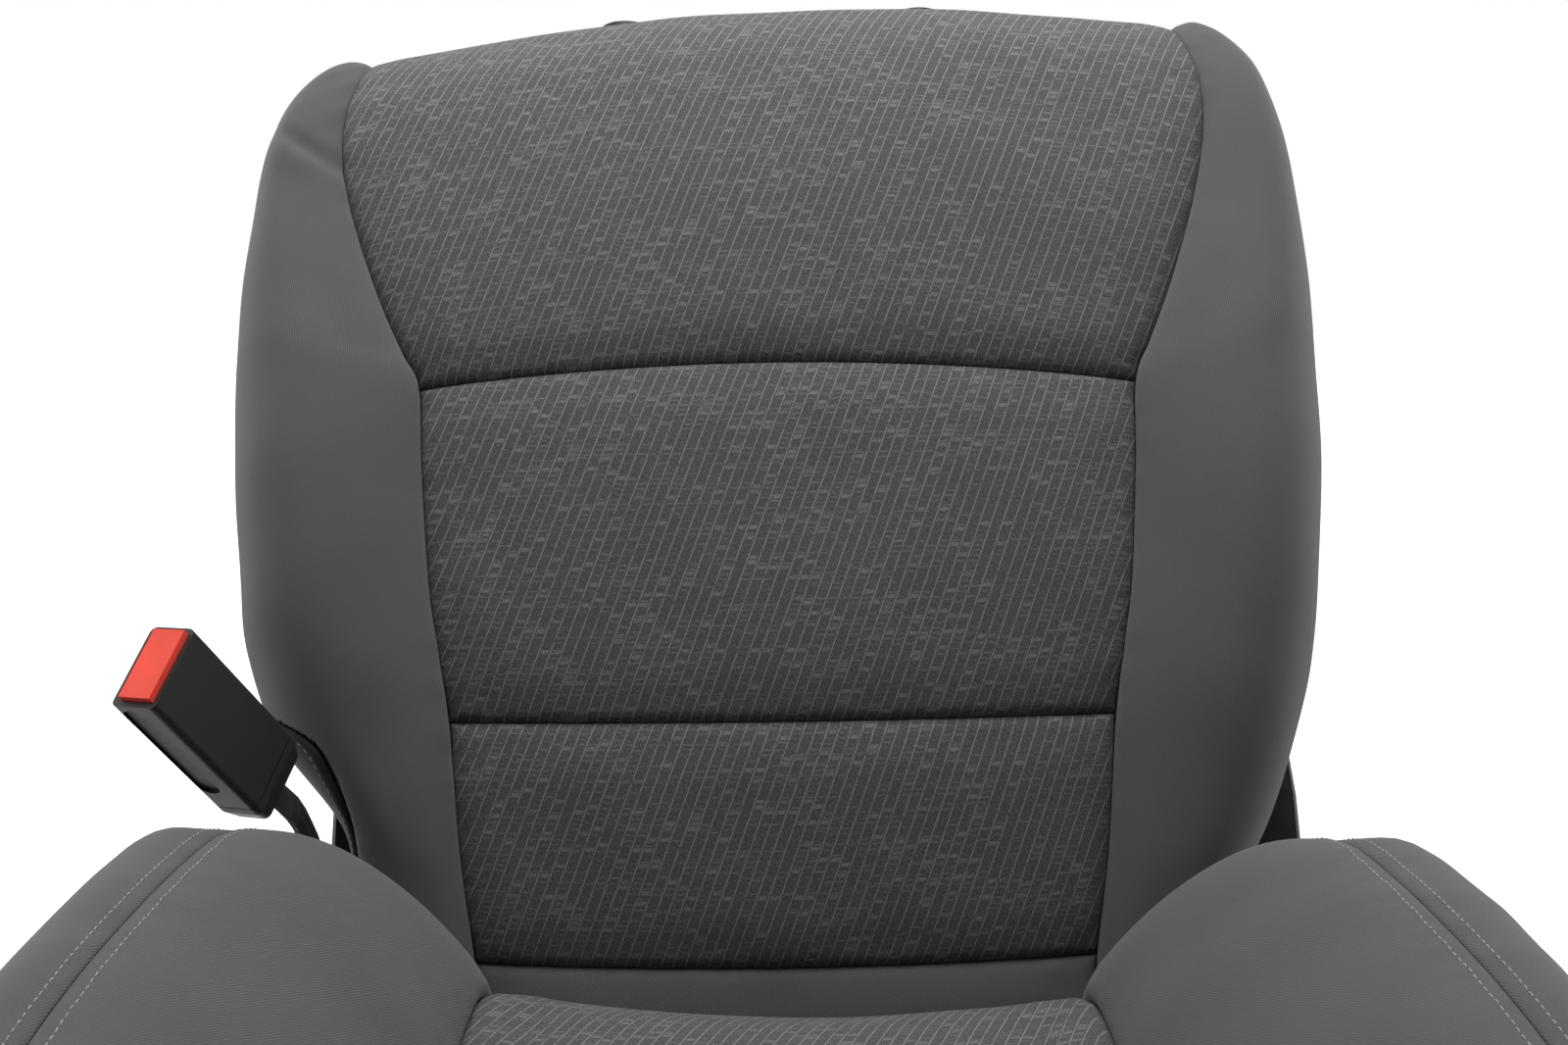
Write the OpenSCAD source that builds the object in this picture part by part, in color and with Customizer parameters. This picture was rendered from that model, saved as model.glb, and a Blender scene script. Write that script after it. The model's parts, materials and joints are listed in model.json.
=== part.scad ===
// Front seat of a road car: cloth-covered cushion and backrest on a steel frame,
// carried by a four-link height adjuster on two slide rails.
// +X is the occupant's left (outboard) side, -Y is the front, +Z is up.
// The origin is the centre of the four floor bolts, on the underside of the rail feet.

/* [Rails] */
// Distance between the centre lines of the two rails
rail_gauge = 410; // [400:2:416]
// Length of each floor rail
rail_len = 470; // [460:2:480]
// Distance between the front and the rear floor bolts
bolt_span = 500; // [496:2:504]
// Radius of the floor bolt holes
bolt_r = 5.5; // [4.5:0.25:6.5]

/* [Height adjuster] */
// Distance between the two pivots of a lift link
link_len = 80; // [74:1:84]
// Angle of the lift links above the horizontal, at the lowest seat height
link_angle = 20; // [16:1:24]

/* [Backrest] */
// Recline of the backrest from the vertical
recline = 17.5; // [12:0.5:24]
// Fore-aft place of the recliner axis
axis_y = 235; // [230:1:240]
// Height of the recliner axis
axis_z = 265; // [262:1:270]
// Thickness of the cloth and vinyl trim with its backing foam
trim_t = 3; // [2:0.5:3.5]

/* [Frame] */
// Half the distance between the outer faces of the cushion side members
frame_half = 215; // [214:0.5:216]
// Thickness of the stamped side members
sheet_t = 3; // [2:0.5:3.5]
// Radius of the torque tubes of the height adjuster
tube_r = 11; // [10:0.5:12]

/* [Headrest] */
// Distance between the two headrest guide bores
guide_gap = 160; // [140:5:180]
// Radius of each headrest guide bore
guide_r = 6; // [5:0.5:6.5]

/* [Hidden] */
$fn = 48;
rail_x = rail_gauge / 2;
foot_t = 5;
clear = 0.1;                 // running clearance of a pin in its hole
seam_gap = 0.8;              // half the width of the channel at a sewn seam
steel = "#5b6066";
dark = "#2a2b2d";
cloth = "#4a474b";
pattern = "#3a3a3d";

lower_pivot_z = 75;
front_pivot_y = -190;
rear_pivot_y = 95;
link_dy = link_len * cos(link_angle);
link_dz = link_len * sin(link_angle);
upper_pivot_z = lower_pivot_z + link_dz;

// ---------- shared geometry ----------
module both() {
    children();
    mirror([1, 0, 0]) children();
}
// A flat shape drawn in the (y, z) plane, from x0 towards +X
module plate_x(x0, t) translate([x0, 0, 0]) rotate([90, 0, 90]) linear_extrude(t) children();
// A flat shape drawn in the (x, z) plane, from y0 towards +Y
module along_y(y0, len) translate([0, y0 + len, 0]) rotate([90, 0, 0]) linear_extrude(len) children();
module rod_x(r, x0, x1, y, z) translate([x0, y, z]) rotate([0, 90, 0]) cylinder(r = r, h = x1 - x0);
// The backrest's own frame: x across, -y forward, z up along the backrest, origin on the recliner axis
module in_backrest() translate([0, axis_y, axis_z]) rotate([-recline, 0, 0]) children();

function lerp(a, b, t) = a + (b - a) * t;
// Catmull-Rom value at t along a list of stations, each a number or a list of numbers
function spline(p, t) =
    let (n = len(p) - 1, i = min(max(floor(t), 0), n - 1), f = t - i,
         a = p[max(i - 1, 0)], b = p[i], c = p[i + 1], d = p[min(i + 2, n)])
    b + (c - a) * (f / 2) + (2 * a - 5 * b + 4 * c - d) * (f * f / 2)
      + (3 * b - 3 * c + d - a) * (f * f * f / 2);
function unit(v) = v / max(norm(v), 1e-6);
function grid_normal(g, i, j) =
    let (m = len(g) - 1, n = len(g[0]) - 1,
         across = g[i][min(j + 1, n)] - g[i][max(j - 1, 0)],
         along = g[min(i + 1, m)][j] - g[max(i - 1, 0)][j])
    unit(cross(across, along));
// Triangles of a grid of quads; flip turns them over
function grid_faces(m, n, start, flip) = [
    for (i = [0 : m - 1], j = [0 : n - 1])
        let (a = start + i * (n + 1) + j, b = a + 1, c = a + n + 2, d = a + n + 1)
        each (flip ? [[a, b, c], [a, c, d]] : [[a, c, b], [a, d, c]])];
// Strip that joins the rim of an outer grid to the rim of its inner copy
function rim_faces(rim, shift) = [
    for (k = [0 : len(rim) - 1])
        let (a = rim[k], b = rim[(k + 1) % len(rim)])
        each [[a, b, b + shift], [a, b + shift, a + shift]]];
function grid_rim(m, n) = concat(
    [for (j = [0 : n - 1]) j],
    [for (i = [0 : m - 1]) i * (n + 1) + n],
    [for (j = [n : -1 : 1]) m * (n + 1) + j],
    [for (i = [m : -1 : 1]) i * (n + 1)]);
// The same grid moved t deeper
function sunk(g, t) = [for (i = [0 : len(g) - 1])
    [for (j = [0 : len(g[0]) - 1]) g[i][j] - t * grid_normal(g, i, j)]];
// A sheet of trim: the grid is its outer face, and it is t thick
module sheet(g, t) pad(g, sunk(g, t));
// A solid between a grid and a second grid behind it
module pad(g, under) {
    m = len(g) - 1;
    n = len(g[0]) - 1;
    points = concat([for (r = g) each r], [for (r = under) each r]);
    shift = (m + 1) * (n + 1);
    polyhedron(points, concat(grid_faces(m, n, 0, false), grid_faces(m, n, shift, true),
        rim_faces(grid_rim(m, n), shift)), convexity = 8);
}
// Sweeps a flat oval section along a list of points; wide lies along the given side vector
module strap(path, side, wide, thick) {
    n = len(path) - 1;
    sides = 8;
    rings = [for (i = [0 : n])
        let (along = unit(path[min(i + 1, n)] - path[max(i - 1, 0)]),
             across = unit(side - (side * along) * along), out = cross(along, across))
        [for (k = [0 : sides - 1]) let (a = 360 * k / sides + 22.5)
            path[i] + across * (wide / 2 * cos(a)) + out * (thick / 2 * sin(a))]];
    points = [for (r = rings) each r];
    walls = [for (i = [0 : n - 1], k = [0 : sides - 1])
        let (a = i * sides + k, b = i * sides + (k + 1) % sides)
        each [[a, a + sides, b + sides], [a, b + sides, b]]];
    polyhedron(points, concat(walls, [[for (k = [0 : sides - 1]) k]],
        [[for (k = [sides - 1 : -1 : 0]) n * sides + k]]), convexity = 6);
}

// ---------- floor rails ----------
module floor_rail_section() {
    translate([-23, foot_t]) square([46, 2.5]);
    both_2d() {
        translate([20.5, foot_t]) square([2.5, 28]);
        translate([9.5, foot_t + 25.5]) square([13.5, 2.5]);
        translate([9.5, foot_t + 19]) square([2.5, 9]);
    }
}
module both_2d() {
    children();
    mirror([1, 0]) children();
}
module floor_rails() color(steel) both() translate([rail_x, 0, 0])
    along_y(-rail_len / 2, rail_len) floor_rail_section();
module foot(y_in, y_out) {
    difference() {
        translate([rail_x - 30, min(y_in, y_out), 0]) cube([60, abs(y_out - y_in), foot_t]);
        translate([rail_x, sign(y_out) * bolt_span / 2, -1]) cylinder(r = bolt_r, h = foot_t + 2);
    }
}
module front_feet() color(steel) both() foot(-195, -bolt_span / 2 - 22);
module rear_feet() color(steel) both() foot(195, bolt_span / 2 + 22);
module foot_rivets() color("silver") both() for (s = [-1, 1])
    translate([rail_x, s * (rail_len / 2 - 6), foot_t + 2.5]) cylinder(r = 4.5, h = 2);

// ---------- slide rails and what is riveted to them ----------
module slide_rail_section() {
    translate([-17, 12.5]) square([34, 2.5]);
    translate([-20, 46]) square([40, 3]);
    both_2d() {
        translate([14.5, 12.5]) square([2.5, 13]);
        translate([5.5, 12.5]) square([2.5, 35]);
    }
}
module slide_rails() color("#8b9096") both() translate([rail_x, 0, 0])
    along_y(-225, 445) slide_rail_section();
module rail_rollers() color("silver") both() for (y = [-100, 100])
    rod_x(2.4, rail_x - 13, rail_x + 13, y, 10);
module link_bracket(y) {
    translate([rail_x - 15, y - 28, 49]) cube([32, 56, 3]);
    difference() {
        plate_x(rail_x - 8, 4) {
            translate([y, lower_pivot_z]) circle(r = 13);
            polygon([[y - 24, 52], [y + 24, 52], [y + 12, lower_pivot_z], [y - 12, lower_pivot_z]]);
        }
        rod_x(6, rail_x - 20, rail_x + 5, y, lower_pivot_z);
    }
}
module release_bracket() difference() {
    union() {
        plate_x(rail_x - 22, 3) translate([-122, 49]) square([20, 22]);
        translate([rail_x - 22, -122, 49]) cube([20, 20, 2]);
    }
    rod_x(4, rail_x - 23, rail_x - 18, -112, 62);
}
module rail_brackets() color(steel) both() {
    link_bracket(front_pivot_y);
    link_bracket(rear_pivot_y);
    release_bracket();
}
module rail_pins() color("silver") both() {
    for (y = [front_pivot_y, rear_pivot_y]) {
        rod_x(6, rail_x - 15.5, rail_x - 4, y, lower_pivot_z);
        rod_x(9, rail_x - 18.5, rail_x - 15.5, y, lower_pivot_z);
    }
    rod_x(4, 165, rail_x - 19, -112, 62);
    rod_x(6.5, 162, 165, -112, 62);
}

// ---------- slide release ----------
bar_x = rail_x - 34;
bar_z = 62;
bar_bend = 20;
module slide_release_bar() color(dark) {
    rod_x(5, -bar_x + bar_bend, bar_x - bar_bend, -318, bar_z);
    rod_x(9, -55, 55, -318, bar_z);
    both() {
        translate([bar_x - bar_bend, -318 + bar_bend, bar_z]) rotate(-90)
            rotate_extrude(angle = 90) translate([bar_bend, 0]) circle(r = 5);
        translate([bar_x, -318 + bar_bend, bar_z]) rotate([-90, 0, 0]) cylinder(r = 5, h = 160);
    }
}
module slide_latches() color(steel) both() difference() {
    plate_x(bar_x - 3, 6) polygon([[-138, bar_z - 9], [-96, bar_z - 9], [-88, bar_z - 20],
        [-74, bar_z - 20], [-74, bar_z + 6], [-96, bar_z + 10], [-138, bar_z + 9]]);
    rod_x(4.1, bar_x - 4, bar_x + 4, -112, bar_z);
}

// ---------- height adjuster ----------
module link(y) difference() {
    plate_x(rail_x - 15, 6) translate([y, lower_pivot_z]) rotate(link_angle) {
        circle(r = 13);
        translate([link_len, 0]) circle(r = tube_r + 6);
        translate([0, -10]) square([link_len, 20]);
    }
    rod_x(6 + clear, rail_x - 16, rail_x - 8, y, lower_pivot_z);
    rod_x(tube_r, rail_x - 16, rail_x - 8, y + link_dy, upper_pivot_z);
}
module torque_tube(y) difference() {
    rod_x(tube_r, -frame_half - 4, frame_half + 4, y + link_dy, upper_pivot_z);
    rod_x(tube_r - 2, -frame_half - 5, frame_half + 5, y + link_dy, upper_pivot_z);
}
module front_links() color(steel) both() link(front_pivot_y);
module front_torque_tube() color(steel) torque_tube(front_pivot_y);
module rear_links() color(steel) both() link(rear_pivot_y);
module rear_torque_tube() color(steel) torque_tube(rear_pivot_y);

// ---------- cushion frame ----------
frame_x = frame_half - sheet_t;
module side_member_outline() difference() {
    union() {
        polygon([[-230, 112], [-214, 84], [196, 84], [214, 140], [axis_y + 12, axis_z - 40],
            [axis_y - 40, axis_z + 12], [168, 222], [120, 200], [-222, 200], [-230, 186]]);
        translate([axis_y, axis_z]) circle(r = 42);
    }
    for (y = [front_pivot_y, rear_pivot_y])
        translate([y + link_dy, upper_pivot_z]) circle(r = tube_r + 2 * clear);
    for (p = [[-180, 150, 20], [-60, 150, 22], [96, 150, 22]])
        translate([p[0], p[1]]) circle(r = p[2]);
    translate([axis_y, axis_z]) circle(r = 5.5);
}
module cushion_side_member_left() color(steel) mirror([1, 0, 0]) {
    difference() {
        plate_x(frame_x, sheet_t) side_member_outline();
        rod_x(6, frame_x - 1, frame_half + 1, 205, 232);
    }
    translate([frame_x - 12, -222, 200 - sheet_t]) cube([12, 330, sheet_t]);
}
module cushion_side_member_right() color(steel) {
    plate_x(frame_x, sheet_t) side_member_outline();
    translate([frame_x - 12, -222, 200 - sheet_t]) cube([12, 330, sheet_t]);
}
module cushion_front_pan() color(steel) difference() {
    plate_x(-frame_x + 0.2, 2 * frame_x - 0.4) polygon([[-80, 202.5], [-190, 214], [-222, 208],
        [-232, 190], [-238, 130], [-235, 130], [-229, 189], [-220, 205.5],
        [-189, 211.5], [-80, 200]]);
    for (x = [-110, 0, 110]) translate([x, -140, 190]) cylinder(r = 26, h = 40);
}
module cushion_rear_tube() color(steel) rod_x(12, -frame_x, frame_x, 142, 206);
spring_pitch = 26;
module zigzag_spring(x) translate([x, 0, 203.1]) linear_extrude(3) {
    for (k = [0 : 7]) {
        translate([-20, -84 + k * spring_pitch]) square([40, 3.5]);
        translate([(k % 2 == 0) ? 16.5 : -20, -84 + k * spring_pitch]) square([3.5, spring_pitch]);
    }
    translate([-20, -84 + 8 * spring_pitch]) square([40, 3.5]);
}
module cushion_springs() color("#3c4046") for (x = [-150, -52, 52, 150]) zigzag_spring(x);

// Stations of the cushion from the front hem over the top to the foot of its rear wall.
// Each holds: y at the insert and at the bolster, x and z of the insert's edge, crown of the
// insert, x and z of the stitched seam, of the bolster's top, of the widest point, x of the foot
cushion_stations = [
    [-336, -330, 155, 240, 1, 216, 243, 227, 243, 240, 241, 238],
    [-335, -329, 155, 262, 2, 217, 270, 229, 271, 243, 258, 240],
    [-329, -322, 154, 296, 3, 220, 316, 233, 318, 250, 294, 244],
    [-315, -308, 153, 327, 4, 224, 357, 238, 360, 258, 325, 250],
    [-290, -284, 151, 347, 4, 227, 388, 242, 392, 264, 350, 254],
    [-250, -247, 149, 357, 3, 229, 412, 244, 417, 268, 370, 256],
    [-200, -200, 146, 357, 2, 230, 431, 245, 436, 270, 386, 257],
    [-140, -142, 143, 352, 0, 230, 445, 245, 450, 271, 398, 257],
    [-80, -85, 140, 349, -2, 229, 453, 244, 458, 271, 405, 257],
    [-20, -30, 137, 351, -4, 227, 457, 243, 461, 271, 410, 257],
    [40, 20, 134, 357, -6, 225, 458, 242, 462, 270, 412, 257],
    [96, 62, 132, 365, -9, 223, 456, 240, 459, 267, 411, 256],
    [131, 90, 130, 366, -12, 219, 448, 237, 446, 262, 402, 253],
    [150, 103, 129, 355, -9, 214, 430, 232, 424, 256, 388, 249],
    [156, 109, 128, 328, -3, 210, 392, 228, 388, 250, 362, 246],
    [156, 110, 128, 290, 0, 207, 320, 225, 316, 245, 304, 243],
    [155, 110, 128, 252, 0, 205, 256, 222, 254, 240, 250, 239]
];
cushion_rows = 30;
hem_z = 238;
function cushion_at(k) = spline(cushion_stations, k * (len(cushion_stations) - 1) / cushion_rows);
// The padded top sits with its left side a little higher than its right
cushion_lean = 0.025;
function leaning(p, side) =
    [p[0], p[1], p[2] - side * cushion_lean * p[0] * lookup(p[2], [[260, 0], [340, 1]])];
// u runs from the middle of the insert to its edge, w across each side piece
function insert_point(q, u) =
    [u * (q[2] - seam_gap), lerp(q[0], q[0] - 2, u * u), q[3] + q[4] * (1 - u * u)];
function bolster_point(q, w) =
    let (rise = pow(sin(90 * w), 0.85))
    [lerp(q[2] + seam_gap, q[5] - seam_gap, w), lerp(q[0], q[1], pow(w, 1.5)), lerp(q[3], q[6], rise)];
function side_point(q, w) =
    w < 0.25 ? [lerp(q[5] + seam_gap, q[7], w * 4), q[1], lerp(q[6], q[8], sin(90 * w * 4))] :
    w < 0.7 ? let (a = (w - 0.25) / 0.45 * 90)
        [lerp(q[7], q[9], sin(a)), q[1], lerp(q[10], q[8], cos(a))] :
    let (f = (w - 0.7) / 0.3)
        [lerp(q[9], q[11], f * f), q[1], lerp(q[10], min(hem_z, q[10] - 2), f)];
module cushion_insert() color(pattern)
    sheet([for (k = [0 : cushion_rows]) [for (j = [-10 : 10])
        let (p = insert_point(cushion_at(k), abs(j) / 10))
        leaning([sign(j) * p[0], p[1], p[2]], 1)]], trim_t);
module cushion_bolster(side) sheet([for (k = [0 : cushion_rows]) [for (j = [0 : 8])
    leaning(bolster_point(cushion_at(k), j / 8), side)]], trim_t);
module cushion_side_panel(side) sheet([for (k = [0 : cushion_rows]) [for (j = [0 : 12])
    leaning(side_point(cushion_at(k), j / 12), side)]], trim_t);
module cushion_bolster_left() color(cloth) mirror([1, 0, 0]) cushion_bolster(-1);
module cushion_bolster_right() color(cloth) cushion_bolster(1);
module cushion_side_panel_left() color(cloth) mirror([1, 0, 0]) cushion_side_panel(-1);
module cushion_side_panel_right() color(cloth) cushion_side_panel(1);
// The foam follows the trim a few millimetres below it, down to a flat underside
foam_depth = 5;
foam_z = 219;
function cushion_foam_point(q, u) =
    u < 0.4 ? insert_point(q, u / 0.4) :
    u < 0.7 ? bolster_point(q, (u - 0.4) / 0.3) :
    side_point(q, (u - 0.7) / 0.3 * 0.62);
module cushion_foam() color("#d8c98a") {
    face = [for (k = [5 : 2 : 23]) [for (j = [-20 : 20])
        let (p = cushion_foam_point(cushion_at(k), abs(j) / 20)) leaning([sign(j) * p[0], p[1], p[2]], 1)]];
    g = sunk(face, foam_depth);
    pad(g, [for (r = g) [for (p = r) [p[0] * 0.9, p[1] * 0.97, foam_z]]]);
}

// ---------- plastic trim of the cushion ----------
valance_x = 262;
module valance_outline() hull() {
    translate([-262, 150]) circle(r = 24);
    translate([-280, 226]) circle(r = 18);
    translate([176, 222]) circle(r = 18);
    translate([150, 132]) circle(r = 26);
}
module valance_shell() {
    plate_x(valance_x, 3) difference() {
        valance_outline();
        translate([20, 165]) circle(r = 9);
    }
    plate_x(valance_x - 14, 14) difference() {
        valance_outline();
        offset(delta = -3) valance_outline();
        translate([-320, 215]) square([540, 60]);
    }
}
module valance_posts() for (p = [[-150, 180], [96, 186]])
    rod_x(5, frame_half, valance_x, p[0], p[1]);
module valance_right() color(dark) { valance_shell(); valance_posts(); }
module valance_left() color(dark) mirror([1, 0, 0]) { valance_shell(); valance_posts(); }
module front_apron() color(dark) {
    plate_x(-valance_x + 14.5, 2 * valance_x - 29) polygon([[-318, 236], [-322, 200], [-316, 160],
        [-300, 128], [-297, 130], [-313, 161], [-319, 200], [-315, 236]]);
    for (x = [-180, 180]) translate([x - 12, -316, 190]) cube([24, 80, 3]);
}
module lift_pump() color("silver") {
    rod_x(26, frame_half, frame_half + 18, 20, 165);
    rod_x(17, frame_half + 18, frame_half + 24, 20, 165);
}
module height_lever() color(dark) {
    rod_x(7, frame_half + 24.3, valance_x + 5, 20, 165);
    rod_x(19, valance_x + 4.5, valance_x + 18, 20, 165);
    hull() {
        rod_x(15, valance_x + 6, valance_x + 18, 8, 167);
        translate([valance_x + 12, -130, 196]) scale([1, 3, 1.6]) sphere(r = 6, $fn = 24);
    }
}

// ---------- recliner ----------
module disc_pair(x0, x1, r) both() difference() {
    rod_x(r, x0, x1, axis_y, axis_z);
    rod_x(5.5, x0 - 1, x1 + 1, axis_y, axis_z);
}
module recliner_fixed_discs() color("silver") disc_pair(206.2, frame_x, 34);
module recliner_moving_discs() color("silver") disc_pair(200, 205.9, 34);
module recliner_shaft() color(steel) rod_x(5, -210, 268.5, axis_y, axis_z);
module recliner_lever() color(dark) {
    rod_x(17, 268.5, 282, axis_y, axis_z);
    hull() {
        rod_x(13, 270, 282, axis_y - 6, axis_z - 1);
        translate([276, 140, 246]) scale([1, 2.6, 1.7]) sphere(r = 6, $fn = 24);
    }
}

// ---------- seat belt buckle ----------
// Unit vectors of the housing: along it, across its broad face, and through it
buckle_up = unit([-0.31, -0.63, 0.71]);
buckle_deep = unit(cross([-0.23, -0.56, -0.8], buckle_up));
buckle_wide = cross(buckle_up, buckle_deep);
buckle_base = [-222, 135, 461];
buckle_len = 90;
buckle_w = 38;
buckle_d = 22;
stalk_path = [[-221.6, 206, 246], [-221.6, 210, 285], [-221, 211, 320], [-219.5, 207, 355],
    [-215, 199, 388], [-213.5, 184, 410], [-213.6, 167, 428], buckle_base - 24 * buckle_up,
    buckle_base - 12 * buckle_up, buckle_base - 0.3 * buckle_up];
module at_buckle() multmatrix([
    [buckle_wide[0], buckle_deep[0], buckle_up[0], buckle_base[0]],
    [buckle_wide[1], buckle_deep[1], buckle_up[1], buckle_base[1]],
    [buckle_wide[2], buckle_deep[2], buckle_up[2], buckle_base[2]]]) children();
module buckle_bolt() color("silver") {
    rod_x(6, -222.5, -206, 205, 232);
    rod_x(10, -229, -222.5, 205, 232, $fn = 48);
}
module buckle_anchor() color(steel) mirror([1, 0, 0]) difference() {
    plate_x(frame_half + 0.3, 3.4) {
        translate([205, 232]) circle(r = 15);
        translate([195, 232]) square([20, 26]);
    }
    rod_x(6 + clear, frame_half - 1, frame_half + 6, 205, 232);
}
module buckle_stalk() color(dark)
    strap([for (i = [0 : 18]) spline(stalk_path, i / 2)], [0, 1, 0.3], 16, 5.5);
module rounded_block(w, d, h, r) hull()
    for (x = [-1, 1], y = [-1, 1])
        translate([x * (w / 2 - r), y * (d / 2 - r), 0]) cylinder(r = r, h = h, $fn = 24);
button_deep = 16;
module buckle_shell() hull() {
    translate([0, 0, 8]) rounded_block(buckle_w, buckle_d, buckle_len - 8, 3);
    rounded_block(buckle_w - 5, buckle_d - 4, 4, 3);
}
module buckle_housing() color("#18191b") at_buckle() difference() {
    buckle_shell();
    translate([-buckle_w / 2 + 2.5, -buckle_d / 2 + 1.8, buckle_len - 26])
        cube([buckle_w - 5, button_deep, 30]);
    translate([-buckle_w / 2 + 6, buckle_d / 2 - 3.8, buckle_len - 22]) cube([buckle_w - 12, 2.6, 30]);
    // Recess along the narrow side, and the parting line near the foot
    hull() for (z = [30, buckle_len - 9])
        translate([buckle_w / 2 - 1.6, 3.5, z]) rotate([0, 90, 0]) cylinder(r = 6, h = 4, $fn = 32);
    difference() {
        translate([-buckle_w, -buckle_d, 12]) cube([2 * buckle_w, 2 * buckle_d, 0.6]);
        translate([0, 0, 11]) rounded_block(buckle_w - 1, buckle_d - 1, 3, 2.5);
    }
}
module buckle_button() color("#e8402c") at_buckle()
    translate([-buckle_w / 2 + 2.8, -buckle_d / 2 + 2.1, buckle_len - 17])
        cube([buckle_w - 5.6, button_deep - 0.6, 20]);

// ---------- backrest frame ----------
member_x = 196.5;
module backrest_member_outline() difference() {
    union() {
        circle(r = 36);
        polygon([[-30, 12], [-22, 470], [-12, 500], [16, 500], [26, 470], [34, 180], [36, 0],
            [0, -36], [-36, 0]]);
    }
    circle(r = 5.5);
    for (z = [90, 170, 250, 330, 410]) translate([2, z]) circle(r = 15);
}
// The outline's x runs backward, so it is drawn in the (y, z) plane of the backrest's frame
module backrest_side_member() in_backrest() {
    plate_x(member_x, sheet_t) backrest_member_outline();
    translate([member_x - 10, 23, 60]) cube([10, 3, 400]);
}
module backrest_side_member_left() color(steel) mirror([1, 0, 0]) backrest_side_member();
module backrest_side_member_right() color(steel) backrest_side_member();
module backrest_top_tube() color(steel) in_backrest() difference() {
    rod_x(13, -member_x, member_x, guide_back, 484);
    for (x = [-1, 1])
        translate([x * guide_gap / 2, guide_back, 460]) cylinder(r = 8.8, h = 60);
}
module backrest_lower_panel() color(steel) in_backrest() {
    translate([-member_x, 12, 30]) cube([2 * member_x, 2, 60]);
    translate([-member_x, -6, 90]) cube([2 * member_x, 20, 2]);
}
module lumbar_mat() color("#3c4046") in_backrest() {
    for (x = [-120 : 40 : 120]) translate([x, -24, 120]) cylinder(r = 1.6, h = 270, $fn = 24);
    for (z = [135 : 48 : 375]) rod_x(1.6, -150, 150, -20.8, z, $fn = 24);
    for (s = [-1, 1], z = [135, 375])
        translate([s > 0 ? 150 : -member_x, -22.4, z - 1.6]) cube([member_x - 150, 3.2, 3.2]);
}

// ---------- backrest trim ----------
// Stations of a bolster from the foot of the backrest over its top corner. Each holds:
// seam x and height, outline x and height, then depths forward of the recliner axis at the
// seam, at the bolster's crest, at the outline and at the rear edge, and the rear edge's x
backrest_stations = [
    [139, -40, 146, -42, 58, 57, 46, 40, 143],
    [140, -6, 150, -8, 71, 70, 52, 40, 146],
    [141, 22, 160, 24, 73, 75, 52, 40, 156],
    [142, 50, 178, 54, 73, 83, 48, 38, 174],
    [143, 75, 200, 84, 75, 92, 42, 38, 197],
    [147, 105, 222, 112, 78, 102, 28, 20, 218],
    [150, 130, 238, 140, 80, 110, 20, -30, 233],
    [155, 187, 256, 190, 83, 120, 15, -34, 252],
    [160, 220, 263, 222, 84, 124, 12, -34, 259],
    [165, 252, 267, 256, 84, 125, 10, -34, 263],
    [170, 308, 272, 310, 80, 121, 10, -34, 268],
    [173, 351, 273.5, 355, 76, 112, 10, -34, 269.5],
    [181, 368, 273.5, 378, 75, 107, 10, -34, 269.5],
    [192, 392, 273, 405, 73, 98, 10, -34, 269],
    [204, 424, 270, 443, 69, 86, 10, -34, 266],
    [212, 450, 267, 470, 65, 77, 10, -34, 263],
    [217, 475, 262, 492, 60, 69, 9, -34, 258],
    [218, 495, 256, 509, 54, 60, 8, -34, 252],
    [216.5, 512, 248, 522, 46, 50, 5, -34, 244],
    [214, 528, 237, 534, 34, 37, 0, -34, 234],
    [212, 540, 225, 542, 18, 20, -8, -34, 223],
    [210, 544, 219, 544, -6, -7, -16, -35, 218],
    [208, 540, 214, 540, -28, -28, -30, -36, 213],
    [207, 526, 211, 526, -34, -34, -34, -35, 210]
];
top_row = len(backrest_stations) - 1;
// On the left the foot of the bolster is cut back to leave room for the belt buckle
cut_rows = [
    [143, 75, 186, 86, 75, 88, 40, 38, 182],
    [147, 105, 203, 112, 78, 96, 36, 29, 202],
    [150, 130, 212, 142, 80, 104, 34, -2, 212],
    [155, 187, 247, 184, 83, 116, 24, -12, 248],
    [160, 220, 262, 221, 84, 124, 14, -28, 262]
];
left_stations = [for (k = [0 : top_row]) k < 4 || k > 8 ? backrest_stations[k] : cut_rows[k - 4]];
// The right top corner stands a little higher than the left one
right_lift = [[11, 0], [13, 6], [15, 12], [17, 16], [20, 16], [23, 2]];
right_stations = [for (k = [0 : top_row]) let (q = backrest_stations[k], d = lookup(k, right_lift))
    [q[0], q[1] + d, q[2], q[3] + d, q[4], q[5], q[6], q[7], q[8]]];
crest = 0.55;
function flange(q) = min(lookup(q[1], [[120, 0], [160, 12], [500, 12], [540, 3]]), q[8] - q[0] - 4);
function backrest_bolster_point(q, w) =
    w <= 0.4 ? let (f = w / 0.4)
        [lerp(q[0] + seam_gap, q[2], crest * f), -lerp(q[4], q[5], sin(90 * f)),
         lerp(q[1], q[3], crest * f)] :
    w <= 0.7 ? let (a = (w - 0.4) / 0.3 * 90, g = crest + (1 - crest) * sin(a))
        [lerp(q[0], q[2], g), -lerp(q[6], q[5], cos(a)), lerp(q[1], q[3], g)] :
    w <= 0.9 ? let (f = (w - 0.7) / 0.2)
        [lerp(q[2], q[8], f), -lerp(q[6], q[7], f), q[3] - (q[3] > 500 ? 3 : 0) * f * f] :
    let (f = (w - 0.9) / 0.1)
        [q[8] - 2 * f - flange(q) * f, -q[7], q[3] - (q[3] > 500 ? 3 : 0)];
function bolster_grid(stations, w0, w1, t0, t1, rows, cols) =
    [for (k = [0 : rows]) let (q = spline(stations, lerp(t0, t1, k / rows)))
        [for (j = [0 : cols]) backrest_bolster_point(q, lerp(w0, w1, j / cols))]];
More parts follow.
